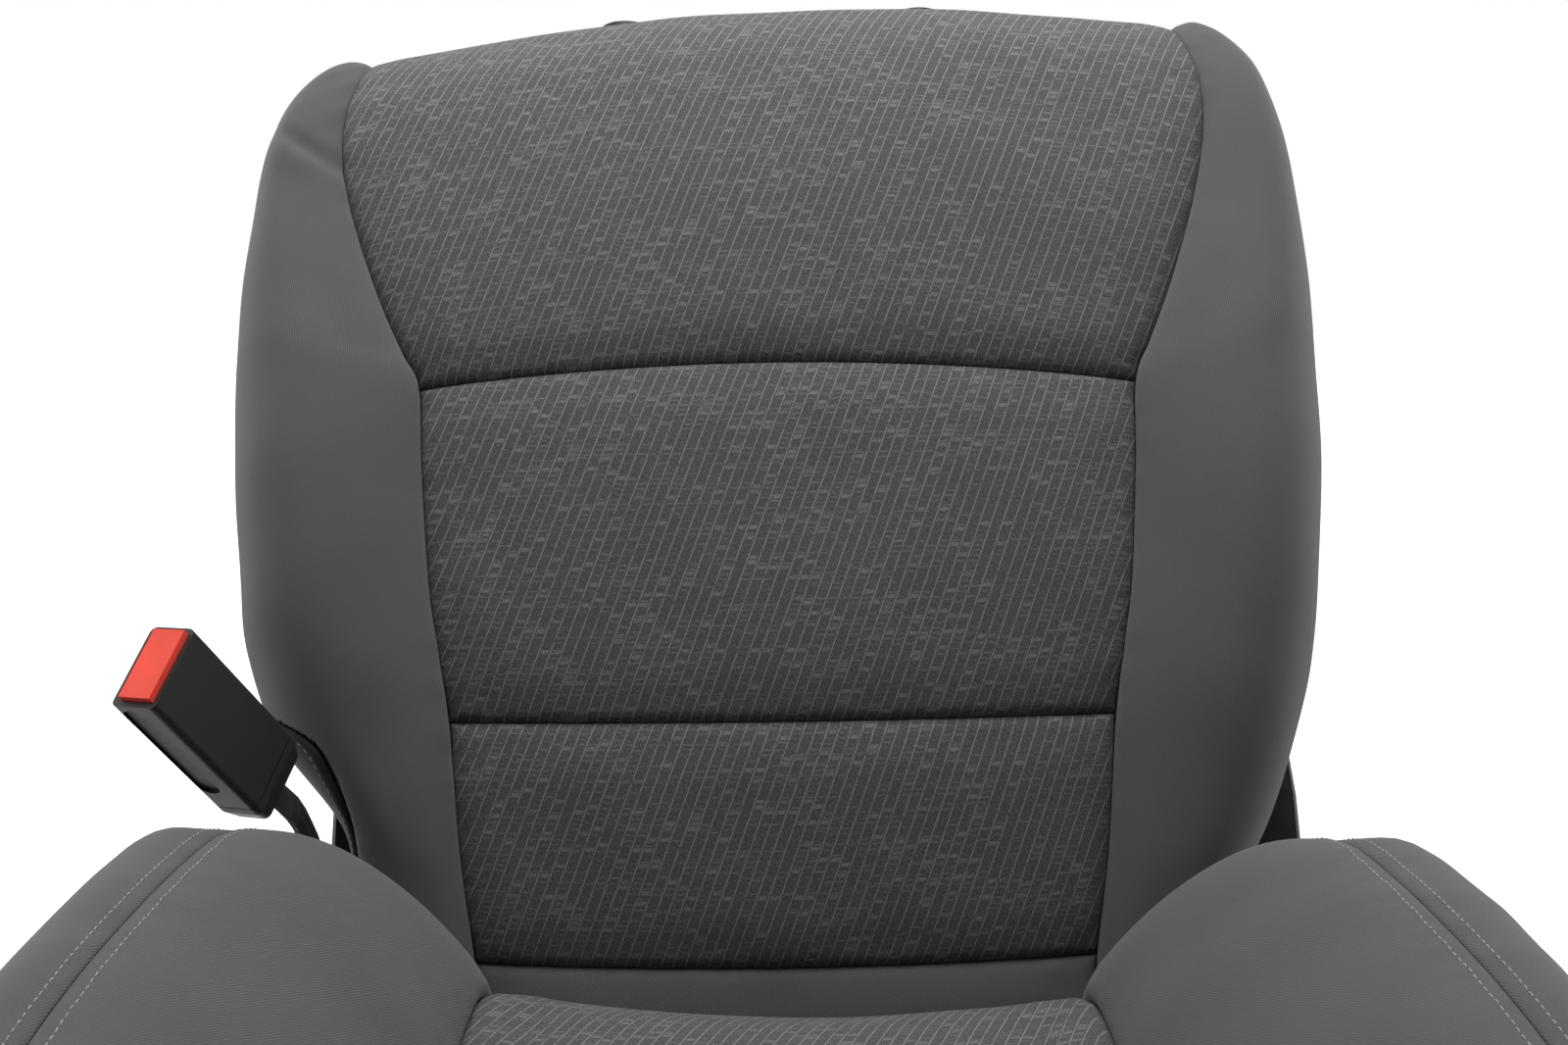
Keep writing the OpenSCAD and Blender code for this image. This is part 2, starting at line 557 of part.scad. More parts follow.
module backrest_bolster(stations) in_backrest()
    sheet(bolster_grid(stations, 0, 1, 0, top_row, 32, 15), trim_t);
module backrest_bolster_right() color(cloth) backrest_bolster(right_stations);
module backrest_bolster_left() color(cloth) mirror([1, 0, 0]) backrest_bolster(left_stations);

// The insert between the two seams: rows from one horizontal seam to the next.
// arch is how far the middle of a row stands above its ends
seam_low = 4;
seam_mid = 7;
seam_up = 11;
function arch(t) = lookup(t, [[0, 0], [seam_low, -4], [seam_mid, -2], [seam_up, 10], [17, 14], [20, 19]]);
function crown(t) = lookup(t, [[0, 2], [seam_low, 3], [9, 5], [seam_up, 5], [18, 6], [21, 3]]);
function backrest_insert_row(t, n, lift) =
    let (q = spline(backrest_stations, t), d = spline(right_stations, t)[1] - q[1])
    [for (j = [-n : n]) let (u = j / n)
        [u * (q[0] - seam_gap), -(q[4] + crown(t) * (1 - u * u)),
            q[1] + lift + arch(t) * (1 - u * u) + d * (1 + u) / 2]];
module backrest_insert(t0, t1, rows, lift0, lift1) in_backrest()
    sheet([for (k = [0 : rows]) backrest_insert_row(lerp(t0, t1, k / rows), 9,
        k == 0 ? lift0 : k == rows ? lift1 : 0)], trim_t);
module backrest_insert_upper() color(pattern) difference() {
    backrest_insert(seam_up, top_row, 20, seam_gap, 0);
    both() in_backrest() translate([guide_gap / 2, guide_back, 520]) cylinder(r = 9.5, h = 80);
}
module backrest_insert_middle() color(pattern) backrest_insert(seam_mid, seam_up, 8, seam_gap, -seam_gap);
module backrest_insert_lower() color(pattern) backrest_insert(seam_low, seam_mid, 6, seam_gap, -seam_gap);
module backrest_hem() color(cloth) backrest_insert(0, seam_low, 8, 0, -seam_gap);

// Vinyl flap sewn over the cut-back corner of the left bolster. Each pair is a station and how far
// across the bolster the flap's bowed seam lies there
flap_edge = [[4.7, 0.62], [5.1, 0.55], [5.6, 0.54], [6.1, 0.5], [6.5, 0.47], [6.8, 0.47], [7.1, 0.55],
    [7.4, 0.68]];
flap_rows = 11;
function flap_grid(lift) = sunk([for (k = [0 : flap_rows])
    let (e = spline(flap_edge, 7 * k / flap_rows), q = spline(left_stations, e[0]))
    [for (j = [0 : 6]) backrest_bolster_point(q, lerp(e[1], 0.9, j / 6))]], -lift);
module backrest_flap_left() color("#222325") mirror([1, 0, 0]) in_backrest()
    pad(flap_grid(3.4), flap_grid(2));

foam_back = 33;
function back_foam_point(t, u) =
    let (q = spline(left_stations, t))
    u < 0.6 ? let (v = u / 0.6)
        [v * q[0], -(q[4] + crown(t) * (1 - v * v)), q[1] + arch(t) * (1 - v * v)] :
    backrest_bolster_point(q, (u - 0.6) / 0.4 * 0.5);
module backrest_foam() color("#d8c98a") in_backrest() {
    face = [for (k = [0 : 20]) [for (j = [-15 : 15])
        let (p = back_foam_point(lerp(3, 17.4, k / 20), abs(j) / 15)) [sign(j) * p[0], p[1], p[2]]]];
    g = [for (r = sunk(face, foam_depth)) [for (p = r) [p[0], min(p[1], -foam_back - 1), p[2]]]];
    pad(g, [for (r = g) [for (p = r) [p[0], -foam_back, p[2]]]]);
}

// Rear shell. Each row holds its height, left and right half width, how far its left and right
// rims turn forward, and how far its middle stands above its ends
shell_rows = [[-6, 184, 246, 10, 18, 0], [10, 187, 262, 10, 26, 0], [50, 190, 266, 8, 30, 0],
    [80, 214, 266, 8, 30, 0], [112, 232, 266, 26, 30, 0], [150, 232, 266, 26, 26, 0],
    [185, 246, 264, 16, 16, 0], [225, 259, 261, 7, 7, 0], [300, 266, 266, 6, 6, 0],
    [380, 268, 268, 6, 6, 2], [450, 263, 263, 6, 6, 6], [496, 246, 246, 6, 6, 14],
    [522, 214, 214, 5, 5, 18], [531, 198, 198, 3, 3, 20]];
function shell_row(t, n) =
    let (q = spline(shell_rows, t), d = lookup(q[0], [[355, 0], [405, 6], [470, 12], [509, 16]]))
    [for (j = [n : -1 : -n])
        let (u = j / n, w = u < 0 ? q[1] : q[2], rim = u < 0 ? q[3] : q[4])
        [u * w, 50 - 4 * u * u - rim * pow(abs(u), 24), q[0] + q[5] * (1 - u * u) + d * (1 + u) / 2]];
module back_panel() color(dark) in_backrest()
    sheet([for (k = [0 : 26]) shell_row(k / 2, 13)], 2.5);

// ---------- headrest guides and side airbag ----------
guide_back = 14;
guide_top_left = 566.4;
guide_top_right = 572.2;
module guide_sleeve(top) difference() {
    union() {
        translate([0, guide_back, 462]) cylinder(r = 8.8, h = top - 458.4);
        translate([0, guide_back, top]) cylinder(r = 14, h = 4);
        children();
    }
    translate([0, guide_back, 461]) cylinder(r = guide_r, h = 120);
}
module headrest_guide_left() color("#1c1d1f") in_backrest()
    translate([-guide_gap / 2, 0, 0]) guide_sleeve(guide_top_left);
module headrest_guide_right() color("#1c1d1f") in_backrest()
    translate([guide_gap / 2, 0, 0]) difference() {
        guide_sleeve(guide_top_right) translate([8, guide_back - 8, guide_top_right]) cube([17, 16, 4]);
        translate([14.5, guide_back - 5, guide_top_right + 0.8]) cube([11, 10, 4]);
    }
module headrest_release_button() color("#1c1d1f") in_backrest()
    translate([guide_gap / 2 + 18, guide_back - 4.7, guide_top_right + 1.1]) cube([9, 9.4, 3]);
module side_airbag() color("#b9b6ae") in_backrest()
    translate([member_x + sheet_t, -22, 190]) cube([32, 42, 180]);

floor_rails();
front_feet();
rear_feet();
foot_rivets();
slide_rails();
rail_rollers();
rail_brackets();
rail_pins();
slide_release_bar();
slide_latches();
front_links();
front_torque_tube();
rear_links();
rear_torque_tube();
cushion_side_member_left();
cushion_side_member_right();
cushion_front_pan();
cushion_rear_tube();
cushion_springs();
cushion_foam();
cushion_insert();
cushion_bolster_left();
cushion_bolster_right();
cushion_side_panel_left();
cushion_side_panel_right();
valance_left();
valance_right();
front_apron();
lift_pump();
recliner_fixed_discs();
buckle_bolt();
height_lever();
recliner_lever();
recliner_shaft();
buckle_anchor();
buckle_stalk();
buckle_housing();
buckle_button();
backrest_side_member_left();
backrest_side_member_right();
recliner_moving_discs();
backrest_top_tube();
backrest_lower_panel();
lumbar_mat();
backrest_foam();
backrest_insert_upper();
backrest_insert_middle();
backrest_insert_lower();
backrest_hem();
backrest_bolster_left();
backrest_bolster_right();
backrest_flap_left();
back_panel();
headrest_guide_left();
headrest_guide_right();
headrest_release_button();
side_airbag();
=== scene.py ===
"""Looks of a road car's cloth front seat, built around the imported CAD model.

The cloth covers are fine grids laid over the same stations as the CAD trim. Each one rolls
into its seams, is puffed by a short cloth simulation and carries a map of the cloth in
millimetres, which the procedural weaves read.
"""

import json
import math
import random

import bpy
import numpy as np
from mathutils import Matrix, Vector


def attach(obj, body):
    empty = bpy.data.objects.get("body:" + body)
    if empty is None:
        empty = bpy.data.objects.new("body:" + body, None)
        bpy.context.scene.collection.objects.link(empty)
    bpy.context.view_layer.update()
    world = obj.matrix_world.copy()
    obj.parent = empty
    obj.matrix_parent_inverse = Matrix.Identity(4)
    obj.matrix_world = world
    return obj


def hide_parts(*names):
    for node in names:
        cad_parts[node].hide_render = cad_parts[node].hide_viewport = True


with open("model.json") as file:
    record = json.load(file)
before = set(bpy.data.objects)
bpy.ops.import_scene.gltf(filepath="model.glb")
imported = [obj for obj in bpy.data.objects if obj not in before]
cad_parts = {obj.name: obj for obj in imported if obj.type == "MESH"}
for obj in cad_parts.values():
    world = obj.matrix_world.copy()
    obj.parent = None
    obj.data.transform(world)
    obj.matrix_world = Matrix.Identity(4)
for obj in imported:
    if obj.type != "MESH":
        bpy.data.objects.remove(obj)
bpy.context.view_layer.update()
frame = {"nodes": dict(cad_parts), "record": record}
scene = bpy.context.scene
MM = 0.001

# ---------- camera: low in front of the seat, looking slightly down at the backrest ----------
CAMERA_PLACE = (-6.45, -684.44, 686.48)
CAMERA_DOWN, CAMERA_TURN, CAMERA_ROLL = (math.radians(a) for a in (8.0, 0.51, -0.72))


def make_camera():
    ahead = Vector((math.sin(CAMERA_TURN) * math.cos(CAMERA_DOWN),
                    math.cos(CAMERA_TURN) * math.cos(CAMERA_DOWN), -math.sin(CAMERA_DOWN)))
    level = ahead.cross(Vector((0, 0, 1))).normalized()
    upright = level.cross(ahead)
    right = level * math.cos(CAMERA_ROLL) + upright * math.sin(CAMERA_ROLL)
    up = upright * math.cos(CAMERA_ROLL) - level * math.sin(CAMERA_ROLL)
    camera = bpy.data.objects.new("camera", bpy.data.cameras.new("camera"))
    scene.collection.objects.link(camera)
    turn = Matrix((right, up, -ahead)).transposed().to_4x4()
    camera.matrix_world = Matrix.Translation(Vector(CAMERA_PLACE) * MM) @ turn
    camera.data.lens = 45
    camera.data.sensor_width = 36
    camera.data.clip_start = 0.01
    scene.camera = camera


make_camera()

# ---------- the stations of the trim, in millimetres, as the CAD has them ----------
# y at the insert and at the bolster, x and z of the insert's edge, crown of the insert,
# x and z of the stitched seam, of the bolster's top, of the widest point, x of the foot
CUSHION_STATIONS = [
    [-336, -330, 155, 240, 1, 216, 243, 227, 243, 240, 241, 238],
    [-335, -329, 155, 262, 2, 217, 270, 229, 271, 243, 258, 240],
    [-329, -322, 154, 296, 3, 220, 316, 233, 318, 250, 294, 244],
    [-315, -308, 153, 327, 4, 224, 357, 238, 360, 258, 325, 250],
    [-290, -284, 151, 347, 4, 227, 388, 242, 392, 264, 350, 254],
    [-250, -247, 149, 357, 3, 229, 412, 244, 417, 268, 370, 256],
    [-200, -200, 146, 357, 2, 230, 431, 245, 436, 270, 386, 257],
    [-140, -142, 143, 352, 0, 230, 445, 245, 450, 271, 398, 257],
    [-80, -85, 140, 349, -2, 229, 453, 244, 458, 271, 405, 257],
    [-20, -30, 137, 351, -4, 227, 457, 243, 461, 271, 410, 257],
    [40, 20, 134, 357, -6, 225, 458, 242, 462, 270, 412, 257],
    [96, 62, 132, 365, -9, 223, 456, 240, 459, 267, 411, 256],
    [131, 90, 130, 366, -12, 219, 448, 237, 446, 262, 402, 253],
    [150, 103, 129, 355, -9, 214, 430, 232, 424, 256, 388, 249],
    [156, 109, 128, 328, -3, 210, 392, 228, 388, 250, 362, 246],
    [156, 110, 128, 290, 0, 207, 320, 225, 316, 245, 304, 243],
    [155, 110, 128, 252, 0, 205, 256, 222, 254, 240, 250, 239],
]
CUSHION_END = len(CUSHION_STATIONS) - 1
HEM_Z = 238
CUSHION_LEAN = 0.025
# seam x and height, outline x and height, then depths forward of the recliner axis at the
# seam, at the bolster's crest, at the outline and at the rear edge, and the rear edge's x
BACK_STATIONS = [
    [139, -40, 146, -42, 58, 57, 46, 40, 143],
    [140, -6, 150, -8, 71, 70, 52, 40, 146],
    [141, 22, 160, 24, 73, 75, 52, 40, 156],
    [142, 50, 178, 54, 73, 83, 48, 38, 174],
    [143, 75, 200, 84, 75, 92, 42, 38, 197],
    [147, 105, 222, 112, 78, 102, 28, 20, 218],
    [150, 130, 238, 140, 80, 110, 20, -30, 233],
    [155, 187, 256, 190, 83, 120, 15, -34, 252],
    [160, 220, 263, 222, 84, 124, 12, -34, 259],
    [165, 252, 267, 256, 84, 125, 10, -34, 263],
    [170, 308, 272, 310, 80, 121, 10, -34, 268],
    [173, 351, 273.5, 355, 76, 112, 10, -34, 269.5],
    [181, 368, 273.5, 378, 75, 107, 10, -34, 269.5],
    [192, 392, 273, 405, 73, 98, 10, -34, 269],
    [204, 424, 270, 443, 69, 86, 10, -34, 266],
    [212, 450, 267, 470, 65, 77, 10, -34, 263],
    [217, 475, 262, 492, 60, 69, 9, -34, 258],
    [218, 495, 256, 509, 54, 60, 8, -34, 252],
    [216.5, 512, 248, 522, 46, 50, 5, -34, 244],
    [214, 528, 237, 534, 34, 37, 0, -34, 234],
    [212, 540, 225, 542, 18, 20, -8, -34, 223],
    [210, 544, 219, 544, -6, -7, -16, -35, 218],
    [208, 540, 214, 540, -28, -28, -30, -36, 213],
    [207, 526, 211, 526, -34, -34, -34, -35, 210],
]
BACK_TOP = len(BACK_STATIONS) - 1
# On the left the foot of the bolster is cut back to leave room for the belt buckle
CUT_ROWS = [
    [143, 75, 186, 86, 75, 88, 40, 38, 182],
    [147, 105, 203, 112, 78, 96, 36, 29, 202],
    [150, 130, 212, 142, 80, 104, 34, -2, 212],
    [155, 187, 247, 184, 83, 116, 24, -12, 248],
    [160, 220, 262, 221, 84, 124, 14, -28, 262],
]
LEFT_STATIONS = BACK_STATIONS[:4] + CUT_ROWS + BACK_STATIONS[9:]
# The right top corner stands a little higher than the left one
RIGHT_LIFT = [[11, 13, 15, 17, 20, 23], [0, 6, 12, 16, 16, 2]]
RIGHT_STATIONS = [[q[0], q[1] + d, q[2], q[3] + d] + q[4:]
                  for q, d in zip(BACK_STATIONS, np.interp(range(len(BACK_STATIONS)), *RIGHT_LIFT))]
# The bowed seam of the vinyl flap on it: stations, and how far across the bolster it lies there
FLAP_EDGE = [[4.7, 0.62], [5.1, 0.55], [5.6, 0.54], [6.1, 0.50], [6.5, 0.47], [6.8, 0.47], [7.1, 0.55],
             [7.4, 0.68]]
RECLINE = math.radians(17.5)
AXIS_Y, AXIS_Z = 235, 265
SEAM_LOW, SEAM_MID, SEAM_UP = 4, 7, 11
CREST = 0.55
GUIDE_X, GUIDE_BACK, GUIDE_HOLE = 80, 14, 9.5


def spline(stations, t):
    """Catmull-Rom values at each t along a list of stations."""
    p = np.array(stations, float)
    t = np.asarray(t, float)
    last = len(p) - 1
    i = np.clip(np.floor(t).astype(int), 0, last - 1)
    f = (t - i).reshape(t.shape + (1,) * (p.ndim - 1))
    a, b, c, d = p[np.maximum(i - 1, 0)], p[i], p[i + 1], p[np.minimum(i + 2, last)]
    return (b + (c - a) * (f / 2) + (2 * a - 5 * b + 4 * c - d) * (f ** 2 / 2)
            + (3 * b - 3 * c + d - a) * (f ** 3 / 2))


def lerp(a, b, f):
    return a + (b - a) * f


def smooth(x):
    x = np.clip(x, 0, 1)
    return x * x * (3 - 2 * x)


def cushion_insert(t, u):
    q = spline(CUSHION_STATIONS, t)[:, :, None]
    u = u[None, :]
    return np.stack(np.broadcast_arrays(
        u * q[:, 2], lerp(q[:, 0], q[:, 0] - 2, u * u), q[:, 3] + q[:, 4] * (1 - u * u)), -1)


def cushion_bolster(t, w):
    q = spline(CUSHION_STATIONS, t)[:, :, None]
    w = w[None, :]
    rise = np.sin(w * math.pi / 2) ** 0.85
    return np.stack(np.broadcast_arrays(
        lerp(q[:, 2], q[:, 5], w), lerp(q[:, 0], q[:, 1], w ** 1.5), lerp(q[:, 3], q[:, 6], rise)), -1)


def cushion_side(t, w):
    q = spline(CUSHION_STATIONS, t)[:, :, None]
    w = w[None, :]
    over = np.clip(w / 0.25, 0, 1)
    round_ = np.clip((w - 0.25) / 0.45, 0, 1)
    down = np.clip((w - 0.7) / 0.3, 0, 1)
    a = round_ * math.pi / 2
    x = np.where(w < 0.25, lerp(q[:, 5], q[:, 7], over),
                 np.where(w < 0.7, lerp(q[:, 7], q[:, 9], np.sin(a)), lerp(q[:, 9], q[:, 11], down ** 2)))
    z = np.where(w < 0.25, lerp(q[:, 6], q[:, 8], np.sin(over * math.pi / 2)),
                 np.where(w < 0.7, lerp(q[:, 10], q[:, 8], np.cos(a)),
                          lerp(q[:, 10], np.minimum(HEM_Z, q[:, 10] - 2), down)))
    return np.stack(np.broadcast_arrays(x, q[:, 1], z), -1)


def leaning(surface):
    """The cushion's surface with its left side a little higher than its right."""
    def leant(t, w):
        p = surface(t, w).copy()
        p[..., 2] -= CUSHION_LEAN * p[..., 0] * np.clip((p[..., 2] - 260) / 80, 0, 1)
        return p
    return leant


def from_backrest(p):
    """Points of the backrest's own frame, in the row frame."""
    c, s = math.cos(RECLINE), math.sin(RECLINE)
    return np.stack([p[..., 0], AXIS_Y + p[..., 1] * c + p[..., 2] * s,
                     AXIS_Z - p[..., 1] * s + p[..., 2] * c], -1)


def in_backrest(p):
    """Depth behind the recliner axis and height above it, along the leaning backrest."""
    c, s = math.cos(RECLINE), math.sin(RECLINE)
    deep = (p[..., 1] - AXIS_Y) * c - (p[..., 2] - AXIS_Z) * s
    up = (p[..., 1] - AXIS_Y) * s + (p[..., 2] - AXIS_Z) * c
    return deep, up


def back_insert(t, u):
    q = spline(BACK_STATIONS, t)[:, :, None]
    lift = spline(RIGHT_STATIONS, t)[:, 1, None] - q[:, 1]
    arch = np.interp(t, [0, SEAM_LOW, SEAM_MID, SEAM_UP, 17, 20], [0, -4, -2, 10, 14, 19])[:, None]
    crown = np.interp(t, [0, SEAM_LOW, 9, SEAM_UP, 18, 21], [2, 3, 5, 5, 6, 3])[:, None]
    u = u[None, :]
    return from_backrest(np.stack(np.broadcast_arrays(
        u * q[:, 0], -(q[:, 4] + crown * (1 - u * u)),
        q[:, 1] + arch * (1 - u * u) + lift * (1 + u) / 2), -1))


def back_bolster(stations):
    def surface(t, w):
        q = spline(stations, t)[:, :, None]
        w = w[None, :]
        f = np.clip(w / 0.4, 0, 1)
        a = np.clip((w - 0.4) / 0.3, 0, 1) * math.pi / 2
        band = np.clip((w - 0.7) / 0.2, 0, 1)
        tuck = np.clip((w - 0.9) / 0.1, 0, 1)
        g = np.where(w < 0.4, CREST * f, CREST + (1 - CREST) * np.sin(a))
        flange = np.minimum(np.interp(q[:, 1], [120, 160, 500, 540], [0, 12, 12, 3]), q[:, 8] - q[:, 0] - 4)
        x = lerp(q[:, 0], q[:, 2], g)
        x = np.where(w > 0.7, lerp(q[:, 2], q[:, 8], band) - (2 + flange) * tuck, x)
        depth = np.where(w < 0.4, lerp(q[:, 4], q[:, 5], np.sin(f * math.pi / 2)),
                         lerp(q[:, 6], q[:, 5], np.cos(a)))
        depth = np.where(w > 0.7, lerp(q[:, 6], q[:, 7], band), depth)
        z = lerp(q[:, 1], q[:, 3], g)
        z = np.where(w > 0.7, q[:, 3] - np.where(q[:, 3] > 500, 3, 0) * band ** 2, z)
        return from_backrest(np.stack(np.broadcast_arrays(x, -depth, z), -1))
    return surface


def mirrored(surface):
    def flipped(t, w):
        return surface(t, w) * np.array([-1, 1, 1])
    return flipped


# ---------- panels ----------
def grid_normals(p):
    along = np.gradient(p, axis=0)
    across = np.gradient(p, axis=1)
    n = np.cross(across, along)
    return n / np.maximum(np.linalg.norm(n, axis=-1, keepdims=True), 1e-9)


def lengths(p, axis):
    """Distance along the grid from its first row or column."""
    step = np.linalg.norm(np.diff(p, axis=axis), axis=-1)
    start = np.zeros_like(np.take(step, [0], axis))
    return np.concatenate([start, np.cumsum(step, axis)], axis)


SEAM_ROUND = 6.5


class Panel:
    """One cut piece of cover. edges names the seam at t0, t1, w0 and w1, or None for a free edge."""

    def __init__(self, name, body, surface, t, w, edges, side=1, thick=2.5, step=3.6):
        self.name, self.body, self.surface = name, body, surface
        self.t, self.w, self.edges, self.side = t, w, edges, side
        self.thick, self.step = thick, step

    def at(self, t, w):
        return self.surface(t, w)

    def outward(self, p):
        return grid_normals(p) * self.side

    def samples(self, step, rolled):
        """Station and across values that are about step millimetres apart, closer at a rolled seam."""
        t, w = np.linspace(*self.t, 240), np.linspace(*self.w, 160)
        p = self.at(t, w)
        along = lengths(p, 0).mean(1)
        across = lengths(p, 1).mean(0)
        places = []
        for total, values, pair in ((along, t, self.edges[:2]), (across, w, self.edges[2:])):
            span = total[-1]
            head = SEAM_ROUND if rolled and pair[0] else 0
            tail = SEAM_ROUND if rolled and pair[1] else 0
            turn = SEAM_ROUND * (1 - np.cos(np.linspace(0, math.pi / 2, 6)))[:-1]
            count = max(3, round((span - head - tail) / step) + 1)
            mids = np.linspace(head, span - tail, count)
            parts = [turn] if head else []
            parts.append(mids)
            if tail:
                parts.append((span - turn)[::-1])
            places.append(np.interp(np.concatenate(parts), total, values))
        return places


def panels():
    left, right = mirrored(back_bolster(LEFT_STATIONS)), back_bolster(RIGHT_STATIONS)
    back, whole, half = (0, BACK_TOP), (-1, 1), (0, 1)
    return [
        Panel("cushion_insert", "cushion", leaning(cushion_insert), (0, CUSHION_END), whole,
              (None, None, "cushion_valley_left", "cushion_valley_right")),
        Panel("cushion_bolster_right", "cushion", leaning(cushion_bolster), (0, CUSHION_END), half,
              (None, None, "cushion_valley_right", "cushion_stitched_right")),
        Panel("cushion_bolster_left", "cushion", leaning(mirrored(cushion_bolster)), (0, CUSHION_END), half,
              (None, None, "cushion_valley_left", "cushion_stitched_left"), -1),
        Panel("cushion_side_panel_right", "cushion", leaning(cushion_side), (0, CUSHION_END), half,
              (None, None, "cushion_stitched_right", None)),
        Panel("cushion_side_panel_left", "cushion", leaning(mirrored(cushion_side)), (0, CUSHION_END), half,
              (None, None, "cushion_stitched_left", None), -1),
        Panel("backrest_insert_upper", "backrest", back_insert, (SEAM_UP, BACK_TOP), whole,
              ("back_up", None, "back_left", "back_right")),
        Panel("backrest_insert_middle", "backrest", back_insert, (SEAM_MID, SEAM_UP), whole,
              ("back_mid", "back_up", "back_left", "back_right")),
        Panel("backrest_insert_lower", "backrest", back_insert, (SEAM_LOW, SEAM_MID), whole,
              ("back_low", "back_mid", "back_left", "back_right")),
        Panel("backrest_hem", "backrest", back_insert, (0, SEAM_LOW), whole,
              (None, "back_low", "back_left", "back_right")),
        Panel("backrest_bolster_right", "backrest", right, back, half, (None, None, "back_right", None)),
        Panel("backrest_bolster_left", "backrest", left, back, half, (None, None, "back_left", None), -1,
              step=2.2),
    ]


def seam_directions(all_panels):
    """For each seam, the direction into the foam along it: minus the mean normal of what meets there."""
    found = {}
    for p in all_panels:
        t, w = np.linspace(*p.t, 90), np.linspace(*p.w, 60)
        n = p.outward(p.at(t, w))
        for k, (values, edge) in enumerate(((w, n[0]), (w, n[-1]), (t, n[:, 0]), (t, n[:, -1]))):
            if p.edges[k]:
                found.setdefault(p.edges[k], []).append((values, edge))
    seams = {}
    for name, parts in found.items():
        lo, hi = min(v[0] for v, _ in parts), max(v[-1] for v, _ in parts)
        values = np.linspace(lo, hi, 120)
        total = np.zeros((120, 3))
        for v, n in parts:
            inside = (values >= v[0] - 1e-6) & (values <= v[-1] + 1e-6)
            each = np.stack([np.interp(values, v, n[:, i]) for i in range(3)], -1)
            total += each * inside[:, None]
        total /= np.maximum(np.linalg.norm(total, axis=-1, keepdims=True), 1e-9)
        seams[name] = (values, -total)
    return seams


def seam_shape(name):
    """Depth and roll radius of a seam, then the depth and reach of the soft hollow beside it."""
    if name.startswith("cushion_stitched"):
        return 1.7, 2.6, 0.3, 9.0
    if name in ("back_up", "back_mid", "back_low"):
        return 6.0, 6.5, 3.0, 15.0
    return 5.5, 6.0, 1.4, 12.0


def edge_distances(p):
    along, across = lengths(p, 0), lengths(p, 1)
    return [along, along[-1:] - along, across, across[:, -1:] - across]


def roll_into_seams(panel, p, t, w, seams):
    """The grid with its sewn edges turned down into their seams."""
    n = panel.outward(p)
    moved = p.copy()
    strongest = np.zeros(p.shape[:2])
    push = np.zeros_like(p)
    for k, d in enumerate(edge_distances(p)):
        name = panel.edges[k]
        if not name:
            continue
        depth, radius, hollow, reach = seam_shape(name)
        if name in ("back_left", "back_right"):
            depth = depth * np.interp(t, [15.5, 17.5], [1, 0.35])[:, None]
        x = 1 - np.clip(d / radius, 0, 1)
        roll = depth * (1 - np.sqrt(np.maximum(0, 1 - x * x)))
        values, direction = seams[name]
        place = w if k < 2 else t
        each = np.stack([np.interp(place, values, direction[:, i]) for i in range(3)], -1)
        each = each[None] if k < 2 else each[:, None]
        stronger = roll > strongest
        push = np.where(stronger[..., None], roll[..., None] * each, push)
        strongest = np.maximum(strongest, roll)
        inward = lerp(each, -n, smooth(d / reach)[..., None])
        moved += inward * (hollow * np.exp(-(d / reach) ** 2))[..., None]
    return moved + push


def unevenness(panel, p, rng):
    """Small hollows and swells, and puckers that run away from the sewn seams."""
    along, across = lengths(p, 0), lengths(p, 1)
    total = np.zeros(p.shape[:2])
    for _ in range(7):
        angle, wave = rng.uniform(0, math.pi), rng.uniform(45, 130)
        phase = rng.uniform(0, 2 * math.pi)
        run = along * math.cos(angle) + across * math.sin(angle)
        total += np.sin(run * 2 * math.pi / wave + phase) * 0.16
    distances = edge_distances(p)
    for k, d in enumerate(distances):
        if panel.edges[k]:
            total *= smooth(d / 14)
    for k, d in enumerate(distances):
        if not panel.edges[k]:
            continue
        run = across if k < 2 else along
        pucker = np.zeros_like(total)
        for _ in range(5):
            wave, phase, slant = rng.uniform(9, 34), rng.uniform(0, 2 * math.pi), rng.uniform(-0.5, 0.5)
            pucker += np.sin((run + slant * d) * 2 * math.pi / wave + phase) * 0.13
        total += pucker * np.exp(-d / 9) * smooth(d / 3)
    return total


PUFF_LIMIT = 2.4
COARSE_STEP, HELD_MARGIN, SIMULATED_FRAMES = 13, 40, 20
FLAP_BED, FLAP_PROUD = 3.2, 0.7


